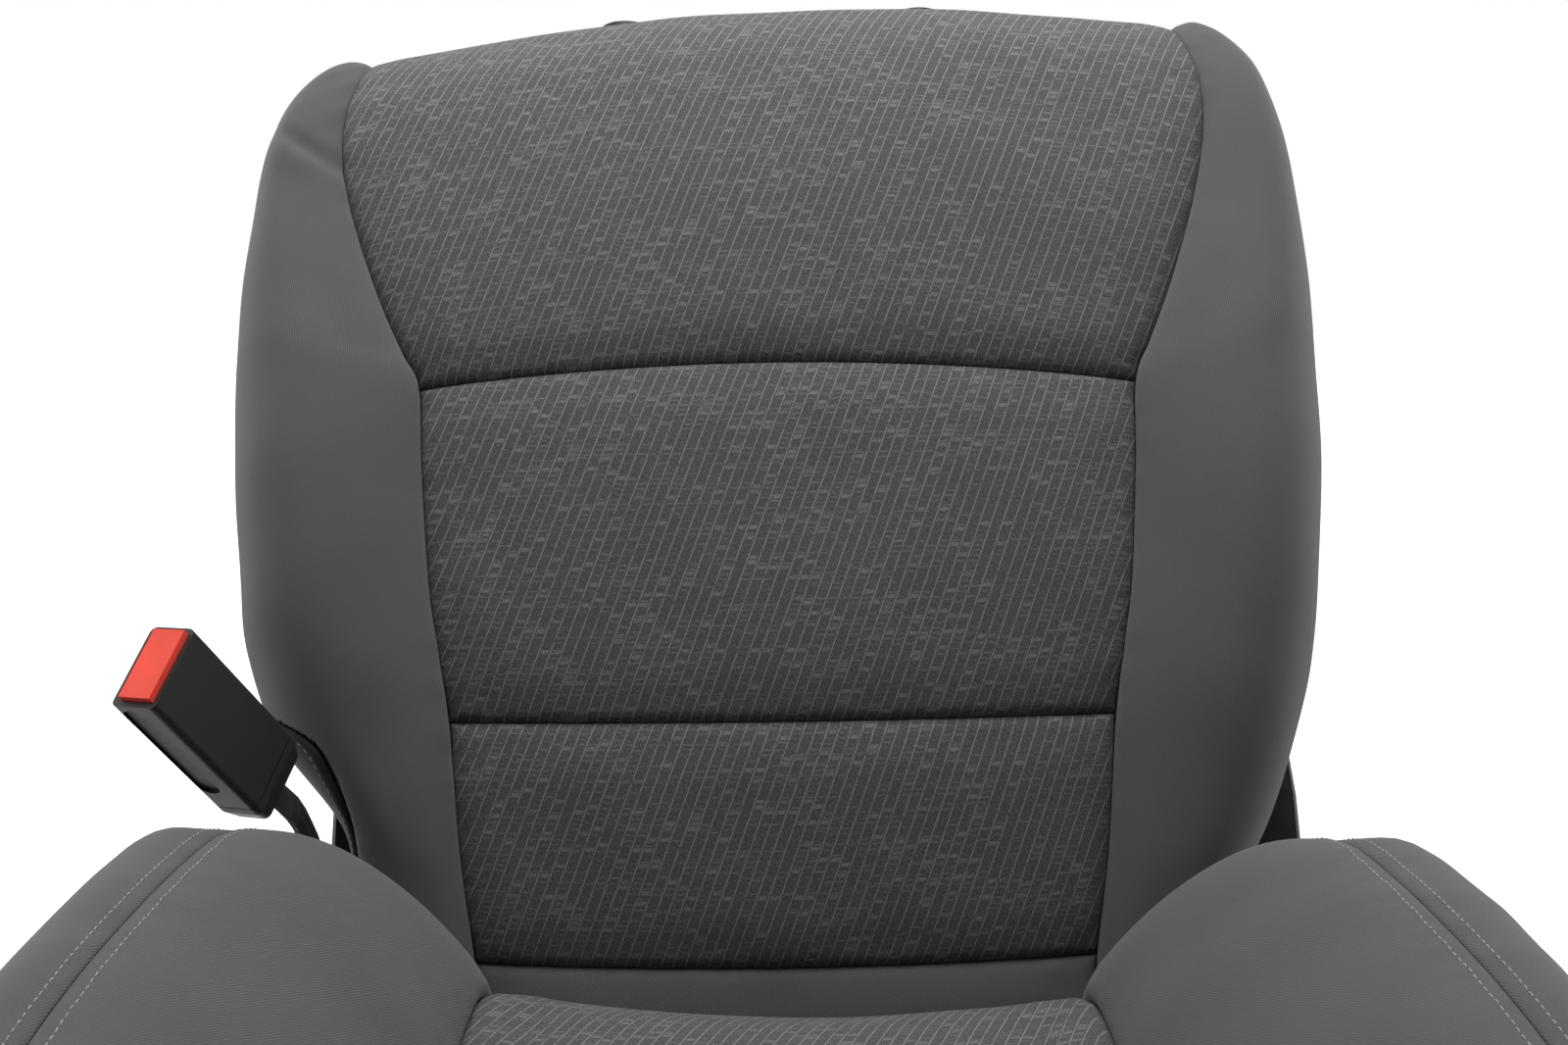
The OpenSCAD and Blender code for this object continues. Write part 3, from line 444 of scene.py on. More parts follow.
def simulate(all_panels):
    """Puffs every panel at once: coarse grids held at their edges under pressure. Returns, for each
    panel, its coarse stations and how far each coarse point moved."""
    coarse, points, faces, held = {}, [], [], []
    for panel in all_panels:
        t, w = panel.samples(COARSE_STEP, False)
        rest = panel.at(t, w)
        n = panel.outward(rest)
        inner = smooth(np.min(np.broadcast_arrays(*edge_distances(rest)), axis=0) / HELD_MARGIN)
        start = rest - n * (2.0 * inner)[..., None]
        base = len(points)
        rows, cols = rest.shape[:2]
        points += [tuple(v) for v in (start * MM).reshape(-1, 3)]
        for i in range(rows - 1):
            for j in range(cols - 1):
                a = base + i * cols + j
                quad = (a, a + 1, a + cols + 1, a + cols)
                faces.append(quad if panel.side > 0 else quad[::-1])
        for i in range(rows):
            for j in range(cols):
                if i in (0, rows - 1) or j in (0, cols - 1):
                    held.append(base + i * cols + j)
        coarse[panel.name] = (t, w, rest, n, base)
    mesh = bpy.data.meshes.new("cover_simulation")
    mesh.from_pydata(points, [], faces)
    cover = bpy.data.objects.new("cover_simulation", mesh)
    scene.collection.objects.link(cover)
    cover.vertex_groups.new(name="held").add(held, 1.0, "REPLACE")
    cloth = cover.modifiers.new("cloth", "CLOTH")
    cloth.settings.vertex_group_mass = "held"
    cloth.settings.quality = 6
    cloth.settings.mass = 0.25
    cloth.settings.tension_stiffness = cloth.settings.compression_stiffness = 18
    cloth.settings.shear_stiffness = 8
    cloth.settings.bending_stiffness = 0.6
    cloth.settings.use_pressure = True
    cloth.settings.uniform_pressure_force = 2.2
    cloth.settings.effector_weights.gravity = 0
    cloth.collision_settings.use_collision = False
    cloth.point_cache.frame_start, cloth.point_cache.frame_end = 1, SIMULATED_FRAMES
    for number in range(1, SIMULATED_FRAMES + 1):
        scene.frame_set(number)
    evaluated = cover.evaluated_get(bpy.context.evaluated_depsgraph_get())
    co = np.zeros(len(points) * 3)
    evaluated.data.vertices.foreach_get("co", co)
    co = co.reshape(-1, 3) / MM
    bpy.data.objects.remove(cover)
    bpy.data.meshes.remove(mesh)
    scene.frame_set(1)
    moves = {}
    for name, (t, w, rest, n, base) in coarse.items():
        moved = co[base:base + rest.shape[0] * rest.shape[1]].reshape(rest.shape) - rest
        out = (moved * n).sum(-1, keepdims=True)
        limit = PUFF_LIMIT if name.startswith("backrest") else PUFF_LIMIT / 2
        moves[name] = (t, w, n * limit * np.tanh(out / limit))
    return moves


def resample(values, t, w, fine_t, fine_w):
    """Coarse grid values carried smoothly onto the fine grid."""
    rows = spline(values, np.interp(fine_t, t, np.arange(len(t))))
    columns = spline(np.swapaxes(rows, 0, 1), np.interp(fine_w, w, np.arange(len(w))))
    return np.swapaxes(columns, 0, 1)


def shell_mesh(name, outer, thick, side, cloth_map, keep=None):
    """A closed shell: the grid is its outer face. keep marks the quads that stay."""
    rows, cols = outer.shape[:2]
    n = grid_normals(outer) * side
    inner = outer - n * thick
    count = rows * cols
    points = np.concatenate([outer.reshape(-1, 3), inner.reshape(-1, 3)]) * MM
    i, j = np.meshgrid(np.arange(rows - 1), np.arange(cols - 1), indexing="ij")
    a = i * cols + j
    if keep is None:
        keep = np.ones(a.shape, bool)
    quads = np.stack([a, a + 1, a + cols + 1, a + cols], -1)[keep]
    padded = np.pad(keep, 1)
    rims = []
    for di, dj, p, q in ((-1, 0, 0, 1), (0, 1, 1, 2), (1, 0, 2, 3), (0, -1, 3, 0)):
        beside = padded[1 + di:padded.shape[0] - 1 + di, 1 + dj:padded.shape[1] - 1 + dj]
        bare = keep & ~beside
        corners = np.stack([a, a + 1, a + cols + 1, a + cols], -1)[bare]
        start, end = corners[:, q], corners[:, p]
        rims.append(np.stack([start, end, end + count, start + count], -1))
    faces = np.concatenate([quads, quads[:, ::-1] + count] + rims)
    if side < 0:
        faces = faces[:, ::-1]
    used = np.zeros(2 * count, bool)
    used[faces.ravel()] = True
    renumber = np.cumsum(used) - 1
    mesh = bpy.data.meshes.new(name)
    mesh.from_pydata(points[used].tolist(), [], renumber[faces].tolist())
    flat = np.concatenate([cloth_map.reshape(-1, 2)] * 2)[used]
    corner = np.zeros(len(mesh.loops), np.int32)
    mesh.loops.foreach_get("vertex_index", corner)
    layer = mesh.uv_layers.new(name="cloth")
    layer.data.foreach_set("uv", flat[corner].astype(np.float32).ravel())
    mesh.shade_smooth()
    piece = bpy.data.objects.new(name, mesh)
    scene.collection.objects.link(piece)
    return piece


def cloth_map_of(p, whole):
    """Where each point lies on the flat cloth, in millimetres across and along."""
    across, along = lengths(p, 1), lengths(p, 0)
    if whole:
        across = across - across[:, across.shape[1] // 2][:, None]
    return np.stack([across, along], -1)


# A crease in the cloth near the top of the left backrest bolster, in the backrest's own frame
CREASE_AT, CREASE_ALONG = np.array([-233.0, 476.0]), np.array([0.83, -0.56])
CREASE_LONG, CREASE_WIDE, CREASE_DEPTH = 17.0, 4.5, 2.6


def crease(p):
    up = in_backrest(p)[1]
    off = np.stack([p[..., 0], up], -1) - CREASE_AT
    far = off @ CREASE_ALONG
    beside = off @ np.array([-CREASE_ALONG[1], CREASE_ALONG[0]])
    reach = np.exp(-(far / CREASE_LONG) ** 2)
    dent = np.exp(-(beside / CREASE_WIDE) ** 2) - 0.5 * np.exp(-((beside + 9) / 8) ** 2)
    return -CREASE_DEPTH * reach * dent


def flap_seam_at(t):
    """How far across the bolster the flap's seam lies at each station."""
    return np.interp(t, *spline(FLAP_EDGE, np.linspace(0, len(FLAP_EDGE) - 1, 60)).T)


def make_room_for_flap(base, t, w):
    """How far the bolster's cover goes in: a groove along the flap's seam, and a bed under the flap."""
    across = lengths(base, 1)
    seam = flap_seam_at(t)
    at_seam = np.array([np.interp(seam[i], w, across[i]) for i in range(len(t))])[:, None]
    past = across - at_seam
    x = 1 - np.clip(-past / 3.5, 0, 1)
    depth = np.where(past < 0, FLAP_BED * (1 - np.sqrt(np.maximum(0, 1 - x * x))), FLAP_BED)
    low, high = FLAP_EDGE[0][0], FLAP_EDGE[-1][0]
    inside = smooth((t - low + 0.12) / 0.12) * smooth((high + 0.12 - t) / 0.12)
    return depth * inside[:, None]


def build_covers(finishes):
    all_panels = panels()
    seams = seam_directions(all_panels)
    moves = simulate(all_panels)
    rng = random.Random(11)
    built = {}
    for panel in all_panels:
        t, w = panel.samples(panel.step, True)
        base = panel.at(t, w)
        p = base + resample(moves[panel.name][2], *moves[panel.name][:2], t, w)
        n = panel.outward(base)
        p = p + n * unevenness(panel, base, rng)[..., None]
        if panel.name == "backrest_bolster_left":
            p = p + n * (crease(base) - make_room_for_flap(base, t, w))[..., None]
        p = roll_into_seams(panel, p, t, w, seams)
        keep = None
        if panel.name == "backrest_insert_upper":
            keep = clear_of_guides(p)
        flat = cloth_map_of(base, whole=panel.w[0] < 0)
        piece = shell_mesh(panel.name + "_cover", p, panel.thick, panel.side, flat, keep)
        slot = "cloth_pattern" if "insert" in panel.name else "cloth_plain"
        piece.data.materials.append(finishes[slot])
        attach(piece, panel.body)
        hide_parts(panel.name)
        built[panel.name] = (p, t, w, panel)
    return built


def clear_of_guides(p):
    """Quads of the top panel that stay where the headrest guides come through."""
    deep, up = in_backrest(p)
    middle = [(v[1:, 1:] + v[1:, :-1] + v[:-1, 1:] + v[:-1, :-1]) / 4 for v in (p[..., 0], deep, up)]
    away = np.hypot(np.abs(middle[0]) - GUIDE_X, middle[1] - GUIDE_BACK)
    return (away > GUIDE_HOLE) | (middle[2] < 500)


# ---------- shader helpers ----------
class Finish:
    """A material with one Principled shader and short ways to add nodes."""

    def __init__(self, name, **sockets):
        self.material = bpy.data.materials.new(name)
        self.material.use_nodes = True
        self.tree = self.material.node_tree
        self.shader = self.tree.nodes["Principled BSDF"]
        for key, value in sockets.items():
            self.shader.inputs[key.replace("_", " ")].default_value = value

    def node(self, kind, inputs=(), **settings):
        made = self.tree.nodes.new("ShaderNode" + kind)
        for key, value in settings.items():
            setattr(made, key, value)
        for key, value in dict(inputs).items():
            self.put(made.inputs[key], value)
        return made

    def put(self, socket, value):
        if isinstance(value, bpy.types.NodeSocket):
            self.tree.links.new(value, socket)
        else:
            socket.default_value = value

    def math(self, operation, a, b=0.0):
        return self.node("Math", {0: a, 1: b}, operation=operation).outputs[0]

    def ramp(self, value, low, high, to_low=0.0, to_high=1.0):
        return self.node("MapRange", {"Value": value, "From Min": low, "From Max": high,
                                      "To Min": to_low, "To Max": to_high}).outputs["Result"]

    def mix(self, factor, a, b):
        made = self.node("Mix", data_type="RGBA")
        self.put(made.inputs["Factor"], factor)
        self.put(made.inputs["A"], a)
        self.put(made.inputs["B"], b)
        return made.outputs["Result"]

    def noise(self, vector, scale, detail=2.0, rough=0.5):
        made = self.node("TexNoise", {"Scale": scale, "Detail": detail, "Roughness": rough})
        self.put(made.inputs["Vector"], vector)
        return made.outputs["Fac"]

    def place(self):
        return self.node("TexCoord").outputs["Object"]

    def cloth(self):
        """Across and along the flat cloth, in millimetres."""
        split = self.node("SeparateXYZ", {"Vector": self.node("UVMap", uv_map="cloth").outputs[0]})
        return split.outputs["X"], split.outputs["Y"]

    def vector(self, x, y, z=0.0):
        return self.node("CombineXYZ", {"X": x, "Y": y, "Z": z}).outputs[0]

    def bump(self, height, distance, strength=1.0):
        made = self.node("Bump", {"Height": height, "Distance": distance, "Strength": strength})
        self.put(self.shader.inputs["Normal"], made.outputs[0])

    def paint(self, colour):
        self.put(self.shader.inputs["Base Color"], colour)


def grey(value, warm=0.0):
    return (value * (1 + warm), value, value * (1 + warm * 1.4), 1)


# ---------- cloths ----------
STRIPE_GAP, STRIPE_LEAN, DASH_GAP, RIB_GAP = 5.5, 0.37, 2.45, 1.05


def pattern_cloth():
    """Charcoal ribbed cloth: thin grey slanted lines, and between them short dotted dashes and small
    light blocks that gather in level bands."""
    f = Finish("cloth_pattern", Roughness=0.92, Sheen_Weight=0.12, Sheen_Roughness=0.5,
               Specular_IOR_Level=0.15)
    u, v = f.cloth()
    slanted = f.math("SUBTRACT", u, f.math("MULTIPLY", v, STRIPE_LEAN))
    lane = f.math("DIVIDE", slanted, STRIPE_GAP)
    row = f.math("DIVIDE", v, DASH_GAP)
    cell = f.vector(f.math("FLOOR", lane), f.math("FLOOR", row))
    chance = f.node("TexWhiteNoise", {"Vector": cell}, noise_dimensions="2D")
    pick = f.node("SeparateColor", {"Color": chance.outputs["Color"]}).outputs
    fleck = f.noise(f.vector(slanted, v), 1.3, 1.0)
    line = f.ramp(f.math("PINGPONG", lane, 0.5), 0.03, 0.085, 1.0, 0.0)
    run = f.noise(f.vector(f.math("FLOOR", f.math("ADD", lane, 0.5)), f.math("DIVIDE", v, 6.0)), 1.0, 2.0)
    line = f.math("MULTIPLY", line, f.ramp(run, 0.30, 0.46, 0.12, 1.0))
    line = f.math("MULTIPLY", line, f.ramp(fleck, 0.25, 0.6, 0.55, 1.0))
    band = f.noise(f.vector(f.math("DIVIDE", u, 75.0), f.math("DIVIDE", v, 7.0)), 1.0, 1.0)
    area = f.noise(f.vector(f.math("DIVIDE", u, 90.0), f.math("DIVIDE", v, 60.0)), 1.0, 1.0)
    crowd = f.math("MULTIPLY", f.ramp(band, 0.34, 0.68, 0.10, 0.80), f.ramp(area, 0.35, 0.65, 0.7, 1.1))
    across = f.math("FRACT", lane)
    within = f.math("MULTIPLY", f.ramp(across, 0.12, 0.2), f.ramp(across, 0.78, 0.88, 1.0, 0.0))
    up = f.math("FRACT", row)
    low = f.math("MULTIPLY", f.ramp(up, 0.08, 0.2), f.ramp(up, 0.38, 0.52, 1.0, 0.0))
    high = f.math("MULTIPLY", f.ramp(up, 0.08, 0.2), f.ramp(up, 0.86, 0.97, 1.0, 0.0))
    short = f.math("MULTIPLY", f.math("LESS_THAN", pick["Red"], crowd), low)
    block = f.math("MULTIPLY", f.math("LESS_THAN", pick["Green"], f.math("MULTIPLY", crowd, 0.30)), high)
    dash = f.math("MULTIPLY", f.math("MAXIMUM", f.math("MULTIPLY", short, 0.62), block), within)
    dots = f.math("PINGPONG", f.math("DIVIDE", slanted, 0.9), 0.5)
    dash = f.math("MULTIPLY", dash, f.ramp(dots, 0.1, 0.4, 0.35, 1.0))
    speck = f.noise(f.vector(f.math("DIVIDE", slanted, 0.7), f.math("DIVIDE", v, 1.1)), 1.0, 1.0)
    dash = f.math("MULTIPLY", dash, f.ramp(speck, 0.35, 0.6, 0.5, 1.1))
    dash = f.math("MULTIPLY", dash, f.ramp(pick["Blue"], 0.0, 1.0, 0.55, 1.0))
    rib = f.math("PINGPONG", f.math("DIVIDE", slanted, RIB_GAP), 0.5)
    thread = f.math("PINGPONG", f.math("DIVIDE", v, 0.7), 0.5)
    ground = f.mix(f.ramp(rib, 0.0, 0.5), grey(0.030, 0.02), grey(0.056, 0.02))
    ground = f.mix(f.ramp(speck, 0.42, 0.72, 0.0, 0.75), ground, grey(0.105, 0.03))
    colour = f.mix(dash, ground, grey(0.165, 0.03))
    f.paint(f.mix(f.math("MULTIPLY", line, 0.85), colour, grey(0.180, 0.03)))
    height = f.math("ADD", f.math("MULTIPLY", rib, 0.8), f.math("MULTIPLY", thread, 0.25))
    f.bump(f.math("ADD", height, f.math("MULTIPLY", f.math("MAXIMUM", dash, line), 0.5)), 0.0003, 0.5)
    return f.material


TWILL_GAP = 1.15


def plain_cloth():
    """Dark grey twill with a soft nap."""
    f = Finish("cloth_plain", Roughness=0.9, Sheen_Weight=0.14, Sheen_Roughness=0.5,
               Specular_IOR_Level=0.15)
    u, v = f.cloth()
    slanted = f.math("ADD", f.math("MULTIPLY", u, 0.87), f.math("MULTIPLY", v, 0.5))
    wander = f.math("MULTIPLY", f.noise(f.vector(u, v), 0.35, 2.0), 0.8)
    ridge = f.math("PINGPONG", f.math("DIVIDE", f.math("ADD", slanted, wander), TWILL_GAP), 0.5)
    yarn = f.noise(f.vector(f.math("MULTIPLY", u, 0.8), v), 2.2, 2.0, 0.7)
    patch = f.noise(f.vector(u, v), 0.018, 3.0)
    ground = f.mix(f.ramp(ridge, 0.05, 0.45), grey(0.040, 0.05), grey(0.078, 0.05))
    ground = f.mix(f.ramp(yarn, 0.35, 0.75, 0.0, 0.5), ground, grey(0.095, 0.05))
    f.paint(f.mix(f.ramp(patch, 0.35, 0.65, 0.0, 0.16), ground, grey(0.038, 0.04)))
    f.bump(f.math("ADD", ridge, f.math("MULTIPLY", yarn, 0.5)), 0.0003, 0.5)
    return f.material


def vinyl():
    f = Finish("vinyl", Roughness=0.7, IOR=1.2)
    place = f.place()
    pebble = f.node("TexVoronoi", {"Vector": place, "Scale": 900.0}).outputs["Distance"]
    blotch = f.noise(place, 60.0)
    f.paint(f.mix(f.ramp(blotch, 0.3, 0.7), grey(0.012, 0.02), grey(0.018, 0.02)))
    f.put(f.shader.inputs["Roughness"], f.ramp(blotch, 0.3, 0.7, 0.6, 0.75))
    f.bump(pebble, 0.0001, 0.5)
    return f.material


def foam():
    f = Finish("foam", Roughness=0.95, Subsurface_Weight=0.1)
    place = f.place()
    cells = f.node("TexVoronoi", {"Vector": place, "Scale": 420.0}).outputs["Distance"]
    stain = f.noise(place, 9.0, 4.0)
    f.paint(f.mix(f.ramp(stain, 0.3, 0.7), (0.72, 0.62, 0.34, 1), (0.60, 0.48, 0.22, 1)))
    f.bump(cells, 0.0006, 0.5)
    return f.material


def airbag_cloth():
    f = Finish("airbag_cloth", Roughness=0.85)
    place = f.place()
    weave = f.node("TexWave", {"Vector": place, "Scale": 400.0, "Distortion": 1.0}).outputs["Fac"]
    f.paint(f.mix(weave, (0.50, 0.48, 0.44, 1), (0.64, 0.62, 0.58, 1)))
    f.bump(weave, 0.0003, 0.5)
    return f.material


# ---------- plastics and metals ----------
def moulded(name, colour, low, high, grain=1400.0, depth=0.00012):
    """Moulded plastic with a fine spark-eroded grain and faint handling marks."""
    f = Finish(name, Specular_IOR_Level=0.45)
    place = f.place()
    fine = f.node("TexVoronoi", {"Vector": place, "Scale": grain}).outputs["Distance"]
    rubbed = f.noise(place, 26.0, 5.0, 0.6)
    darker = tuple(c * 0.8 for c in colour[:3]) + (1,)
    f.paint(f.mix(f.ramp(rubbed, 0.35, 0.65), darker, colour))
    f.put(f.shader.inputs["Roughness"], f.ramp(rubbed, 0.3, 0.7, low, high))
    f.bump(fine, depth, 0.6)
    return f.material


def metal(name, colour, low, high, stretch, dull=0.6):
    """Plated or machined steel: streaks along the part and small dull spots."""
    f = Finish(name, Metallic=1.0)
    streaked = f.node("Mapping", {"Vector": f.place(), "Scale": stretch}).outputs[0]
    streak = f.noise(streaked, 60.0, 4.0, 0.7)
    spots = f.noise(f.place(), 240.0, 3.0)
    dark = tuple(c * dull for c in colour[:3]) + (1,)
    worn = f.math("MULTIPLY", f.ramp(spots, 0.5, 0.72), 0.8)
    duller = tuple(c * 0.88 for c in colour[:3]) + (1,)
    f.paint(f.mix(worn, f.mix(f.ramp(streak, 0.3, 0.7), duller, colour), dark))
    f.put(f.shader.inputs["Roughness"], f.ramp(streak, 0.25, 0.75, low, high))
    f.bump(streak, 0.00008, 0.4)
    return f.material


def painted_steel():
    f = Finish("frame_paint", Specular_IOR_Level=0.5)
    place = f.place()
    peel = f.noise(place, 520.0, 2.0)
    dust = f.noise(place, 14.0, 5.0, 0.65)
    f.paint(f.mix(f.ramp(dust, 0.35, 0.75), grey(0.022), grey(0.052, 0.02)))
    f.put(f.shader.inputs["Roughness"], f.ramp(dust, 0.3, 0.7, 0.32, 0.55))
    f.bump(peel, 0.0001, 0.5)
    return f.material


def thread_yarn():
    f = Finish("thread_yarn", Roughness=0.7, Sheen_Weight=0.2)
    twist = f.node("TexWave", {"Vector": f.place(), "Scale": 900.0, "Distortion": 0.5}).outputs["Fac"]
    f.paint(f.mix(twist, grey(0.14, 0.04), grey(0.26, 0.04)))
    f.bump(twist, 0.0001, 0.5)
    return f.material


def make_finishes():
    return {
        "cloth_plain": plain_cloth(), "cloth_pattern": pattern_cloth(), "vinyl": vinyl(), "foam": foam(),
        "airbag_cloth": airbag_cloth(), "thread": thread_yarn(), "frame_paint": painted_steel(),
        "shell_plastic": moulded("shell_plastic", (0.085, 0.090, 0.098, 1), 0.5, 0.68, 900.0, 0.0002),
        "trim_plastic": moulded("trim_plastic", (0.040, 0.041, 0.044, 1), 0.45, 0.62, 900.0, 0.0002),
        "buckle_plastic": moulded("buckle_plastic", (0.012, 0.012, 0.013, 1), 0.4, 0.52),
        "button_red": moulded("button_red", (0.70, 0.045, 0.02, 1), 0.28, 0.36, 2200.0, 0.00003),
        "rail_zinc": metal("rail_zinc", (0.58, 0.59, 0.60, 1), 0.32, 0.5, (4.0, 0.4, 4.0)),
        "bright_steel": metal("bright_steel", (0.70, 0.70, 0.72, 1), 0.2, 0.36, (0.5, 4.0, 4.0), 0.75),
        "spring_wire": metal("spring_wire", (0.17, 0.17, 0.18, 1), 0.35, 0.5, (1.0, 1.0, 1.0)),
    }


def finish_cad_nodes(finishes):
    for row in frame["record"]["subparts"]:
        node = frame["nodes"][row["node"]]
        node.data.materials.clear()
        node.data.materials.append(finishes[row["material_slot"]])


# ---------- sewing ----------
STITCH_LONG, STITCH_PITCH, STITCH_WIDE, STITCH_HIGH = 3.0, 4.4, 0.62, 0.5


def polyline_at(points, normals, pitch):
    """Points, directions and normals at even steps along a line of points."""
    step = np.linalg.norm(np.diff(points, axis=0), axis=1)
    run = np.concatenate([[0], np.cumsum(step)])
    places = np.arange(pitch / 2, run[-1], pitch)

    def pick(values, at):
        return np.stack([np.interp(at, run, values[:, i]) for i in range(3)], -1)
    ahead = pick(points, places + 0.8) - pick(points, places - 0.8)
    ahead /= np.linalg.norm(ahead, axis=1, keepdims=True)
    out = pick(normals, places)
    out -= (out * ahead).sum(1, keepdims=True) * ahead
    out /= np.linalg.norm(out, axis=1, keepdims=True)
    return pick(points, places), ahead, out


def sew(name, body, lines, finishes):
    """One piece of top-stitching: a plump thread stitch at each step along the lines."""
    sides, rings = 6, [(-0.5, 0.35), (-0.38, 0.85), (0.0, 1.0), (0.38, 0.85), (0.5, 0.35)]
    points, faces = [], []
    for line, normals in lines:
        for at, ahead, out in zip(*polyline_at(line, normals, STITCH_PITCH)):
            side = np.cross(ahead, out)
            base = len(points)
            for share, size in rings:
                sag = 0.25 - 1.6 * (share * share)
                for k in range(sides):
                    angle = 2 * math.pi * k / sides
                    points.append((at + ahead * share * STITCH_LONG
                                   + side * math.cos(angle) * size * STITCH_WIDE / 2
                                   + out * (math.sin(angle) * size * STITCH_HIGH / 2 + sag)) * MM)
            for r in range(len(rings) - 1):
                for k in range(sides):
                    a, b = base + r * sides + k, base + r * sides + (k + 1) % sides
                    faces.append((a, b, b + sides, a + sides))
            faces.append(tuple(base + k for k in reversed(range(sides))))
            faces.append(tuple(base + (len(rings) - 1) * sides + k for k in range(sides)))
    mesh = bpy.data.meshes.new(name)
    mesh.from_pydata([tuple(p) for p in points], [], faces)
    mesh.shade_smooth()
    mesh.materials.append(finishes["thread"])
    piece = bpy.data.objects.new(name, mesh)
    scene.collection.objects.link(piece)
    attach(piece, body)
    return piece


def line_beside(p, distance, side, from_end=False):
    """The line on a grid that stays a given distance from its first or last column."""
    n = grid_normals(p) * side
    across = lengths(p, 1)
    if from_end:
        p, n = p[:, ::-1], n[:, ::-1]
        across = (across[:, -1:] - across)[:, ::-1]
    line = [[np.interp(distance, across[i], q[i, :, c]) for c in range(3)]
            for q in (p, n) for i in range(len(p))]
    line = np.array(line).reshape(2, len(p), 3)
    return line[0], line[1]


STITCH_OFF = 6.6


def sew_cushion(built, finishes):
    for hand, side in (("left", -1), ("right", 1)):
        bolster = built["cushion_bolster_" + hand][0]
        flank = built["cushion_side_panel_" + hand][0]
        sew("cushion_topstitch_" + hand, "cushion",
            [line_beside(bolster, STITCH_OFF, side, True), line_beside(flank, STITCH_OFF, side)], finishes)


# ---------- vinyl flap over the cut-back corner of the left bolster ----------
def make_flap(finishes):
    surface = mirrored(back_bolster(LEFT_STATIONS))
    edge = spline(FLAP_EDGE, np.linspace(0, len(FLAP_EDGE) - 1, 60))
    share = np.linspace(0, 1, 34)
    p = np.concatenate([surface(row[:1], lerp(row[1], 0.905, share)) for row in edge])
    n = -grid_normals(p)
    x = 1 - np.clip(np.min(np.broadcast_arrays(*edge_distances(p)), axis=0) / 2.4, 0, 1)
    turned = 1.6 * (1 - np.sqrt(np.maximum(0, 1 - x * x)))
    p = p + n * (FLAP_PROUD - turned)[..., None]
    piece = shell_mesh("backrest_flap_vinyl", p, 1.6, -1, cloth_map_of(p, False))
    piece.data.materials.append(finishes["vinyl"])
    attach(piece, "backrest")
    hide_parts("backrest_flap_left")
    sew("flap_topstitch", "backrest", [line_beside(p, 5.5, -1)], finishes)


# ---------- foam ----------
FOAM_SUNK, CUSHION_FOAM_Z, BACK_FOAM_Y = 19.0, 219.0, -33.0


def block_mesh(name, top, bottom, finishes, body, node):
    """A closed block between a grid and the grid behind it."""
    rows, cols = top.shape[:2]
    count = rows * cols
    points = np.concatenate([top.reshape(-1, 3), bottom.reshape(-1, 3)]) * MM
    i, j = np.meshgrid(np.arange(rows - 1), np.arange(cols - 1), indexing="ij")
    a = (i * cols + j).ravel()
    quads = np.stack([a, a + 1, a + cols + 1, a + cols], -1)
    rim = (list(range(cols)) + [k * cols + cols - 1 for k in range(1, rows)]
           + [(rows - 1) * cols + k for k in range(cols - 2, -1, -1)]
           + [k * cols for k in range(rows - 2, 0, -1)])
    walls = [(rim[(k + 1) % len(rim)], rim[k], rim[k] + count, rim[(k + 1) % len(rim)] + count)
             for k in range(len(rim))]
    mesh = bpy.data.meshes.new(name)
    mesh.from_pydata(points.tolist(), [], quads.tolist() + (quads[:, ::-1] + count).tolist() + walls)
    mesh.shade_smooth()
    mesh.materials.append(finishes["foam"])
    piece = bpy.data.objects.new(name, mesh)
    scene.collection.objects.link(piece)
    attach(piece, body)
    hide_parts(node)


def joined_surface(parts, t):
    """Several surfaces side by side as one grid."""
    return np.concatenate([surface(t, w) for surface, w in parts], 1)


def make_foams(finishes):
    middle = np.linspace(-1, 1, 31)
    up, down = np.linspace(0.06, 1, 12), np.linspace(0.06, 0.62, 12)
    t = np.linspace(2.7, 12.2, 50)
    face = joined_surface([
        (leaning(surface), w) for surface, w in (
            (mirrored(cushion_side), down[::-1]), (mirrored(cushion_bolster), up[::-1]),
            (cushion_insert, middle), (cushion_bolster, up), (cushion_side, down))], t)
    top = face - grid_normals(face) * FOAM_SUNK
    bottom = top * np.array([0.9, 0.97, 0]) + np.array([0, 0, CUSHION_FOAM_Z])
    block_mesh("cushion_foam_block", top, bottom, finishes, "cushion", "cushion_foam")
    t = np.linspace(3, 17.2, 60)
    over = np.linspace(0.04, 0.5, 14)
    face = joined_surface([
        (mirrored(back_bolster(LEFT_STATIONS)), over[::-1]), (back_insert, middle),
        (back_bolster(LEFT_STATIONS), over)], t)
    sunk = face - grid_normals(face) * FOAM_SUNK
    deep = in_backrest(sunk)[0]
    back = np.array([0, math.cos(RECLINE), -math.sin(RECLINE)])
    top = sunk + np.minimum(0, BACK_FOAM_Y - 1 - deep)[..., None] * back
    deep = np.minimum(deep, BACK_FOAM_Y - 1)
    bottom = top + (BACK_FOAM_Y - deep)[..., None] * back
    block_mesh("backrest_foam_block", top, bottom, finishes, "backrest", "backrest_foam")


# ---------- studio ----------
# name, place and aim in metres, size in metres, power in watts
LIGHTS = (("top_light", (0.0, 0.10, 1.38), (0, 0.26, 0.5), 0.9, 12.5),
          ("left_light", (-1.7, 0.1, 0.95), (0, 0.15, 0.5), 1.2, 6.5),
          ("right_light", (1.7, 0.1, 0.95), (0, 0.15, 0.5), 1.2, 5.0))


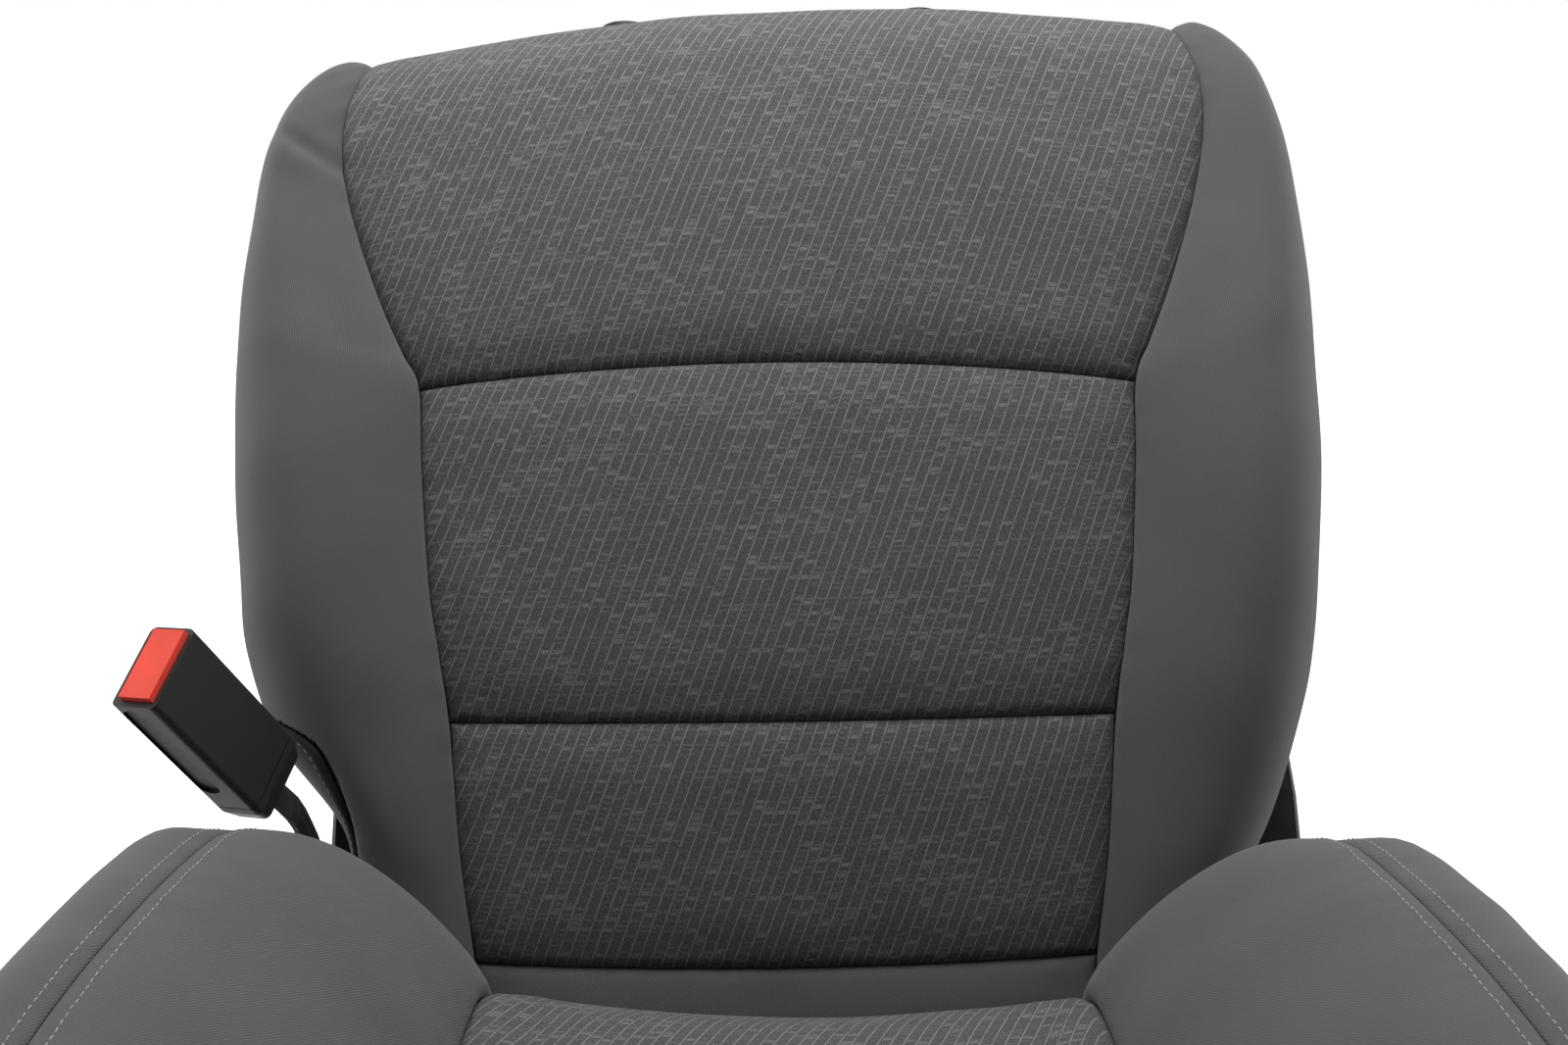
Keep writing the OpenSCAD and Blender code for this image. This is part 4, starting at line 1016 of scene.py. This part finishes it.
def make_floor():
    """A pale floor, greyer near the seat and whiter behind it, where it also glows: the glow is painted
    light that makes the far floor read as a white backdrop.
    """
    mesh = bpy.data.meshes.new("floor")
    reach = 14.0
    mesh.from_pydata([(-reach, -reach, 0), (reach, -reach, 0), (reach, reach, 0), (-reach, reach, 0)],
                     [], [(0, 1, 2, 3)])
    floor = bpy.data.objects.new("floor", mesh)
    scene.collection.objects.link(floor)
    f = Finish("pale_floor", Roughness=0.8, Specular_IOR_Level=0.2)
    back = f.node("SeparateXYZ", {"Vector": f.place()}).outputs["Y"]
    pale = f.mix(f.noise(f.place(), 3.0), (0.56, 0.56, 0.56, 1), (0.60, 0.60, 0.60, 1))
    f.paint(f.mix(f.ramp(back, 0.2, 0.9), pale, (0.90, 0.90, 0.90, 1)))
    # Painted light: the floor glows more the further it lies behind the seat, though it is no lamp.
    f.shader.inputs["Emission Color"].default_value = (1, 1, 1, 1)
    f.put(f.shader.inputs["Emission Strength"], f.ramp(back, 0.25, 0.95, 0.0, 0.75))
    mesh.materials.append(f.material)


def make_studio():
    make_floor()
    world = bpy.data.worlds.new("studio")
    world.use_nodes = True
    tree = world.node_tree
    place = tree.nodes.new("ShaderNodeTexCoord")
    split = tree.nodes.new("ShaderNodeSeparateXYZ")
    level = tree.nodes.new("ShaderNodeMapRange")
    level.interpolation_type = "SMOOTHSTEP"
    for key, value in (("From Min", -0.85), ("From Max", 0.25), ("To Min", 0.12), ("To Max", 1.0)):
        level.inputs[key].default_value = value
    tree.links.new(place.outputs["Generated"], split.inputs[0])
    tree.links.new(split.outputs["Y"], level.inputs["Value"])
    tree.links.new(level.outputs["Result"], tree.nodes["Background"].inputs["Strength"])
    tree.nodes["Background"].inputs["Color"].default_value = (1.0, 1.0, 1.0, 1)
    scene.world = world
    for name, spot, aim, size, power in LIGHTS:
        lamp = bpy.data.lights.new(name, "AREA")
        lamp.size = size
        lamp.energy = power
        light = bpy.data.objects.new(name, lamp)
        light.location = spot
        light.rotation_euler = (Vector(aim) - Vector(spot)).to_track_quat("-Z", "Y").to_euler()
        light.visible_camera = False
        scene.collection.objects.link(light)
    scene.view_settings.view_transform = "Standard"


make_studio()
finishes = make_finishes()
finish_cad_nodes(finishes)
built = build_covers(finishes)
sew_cushion(built, finishes)
make_flap(finishes)
make_foams(finishes)
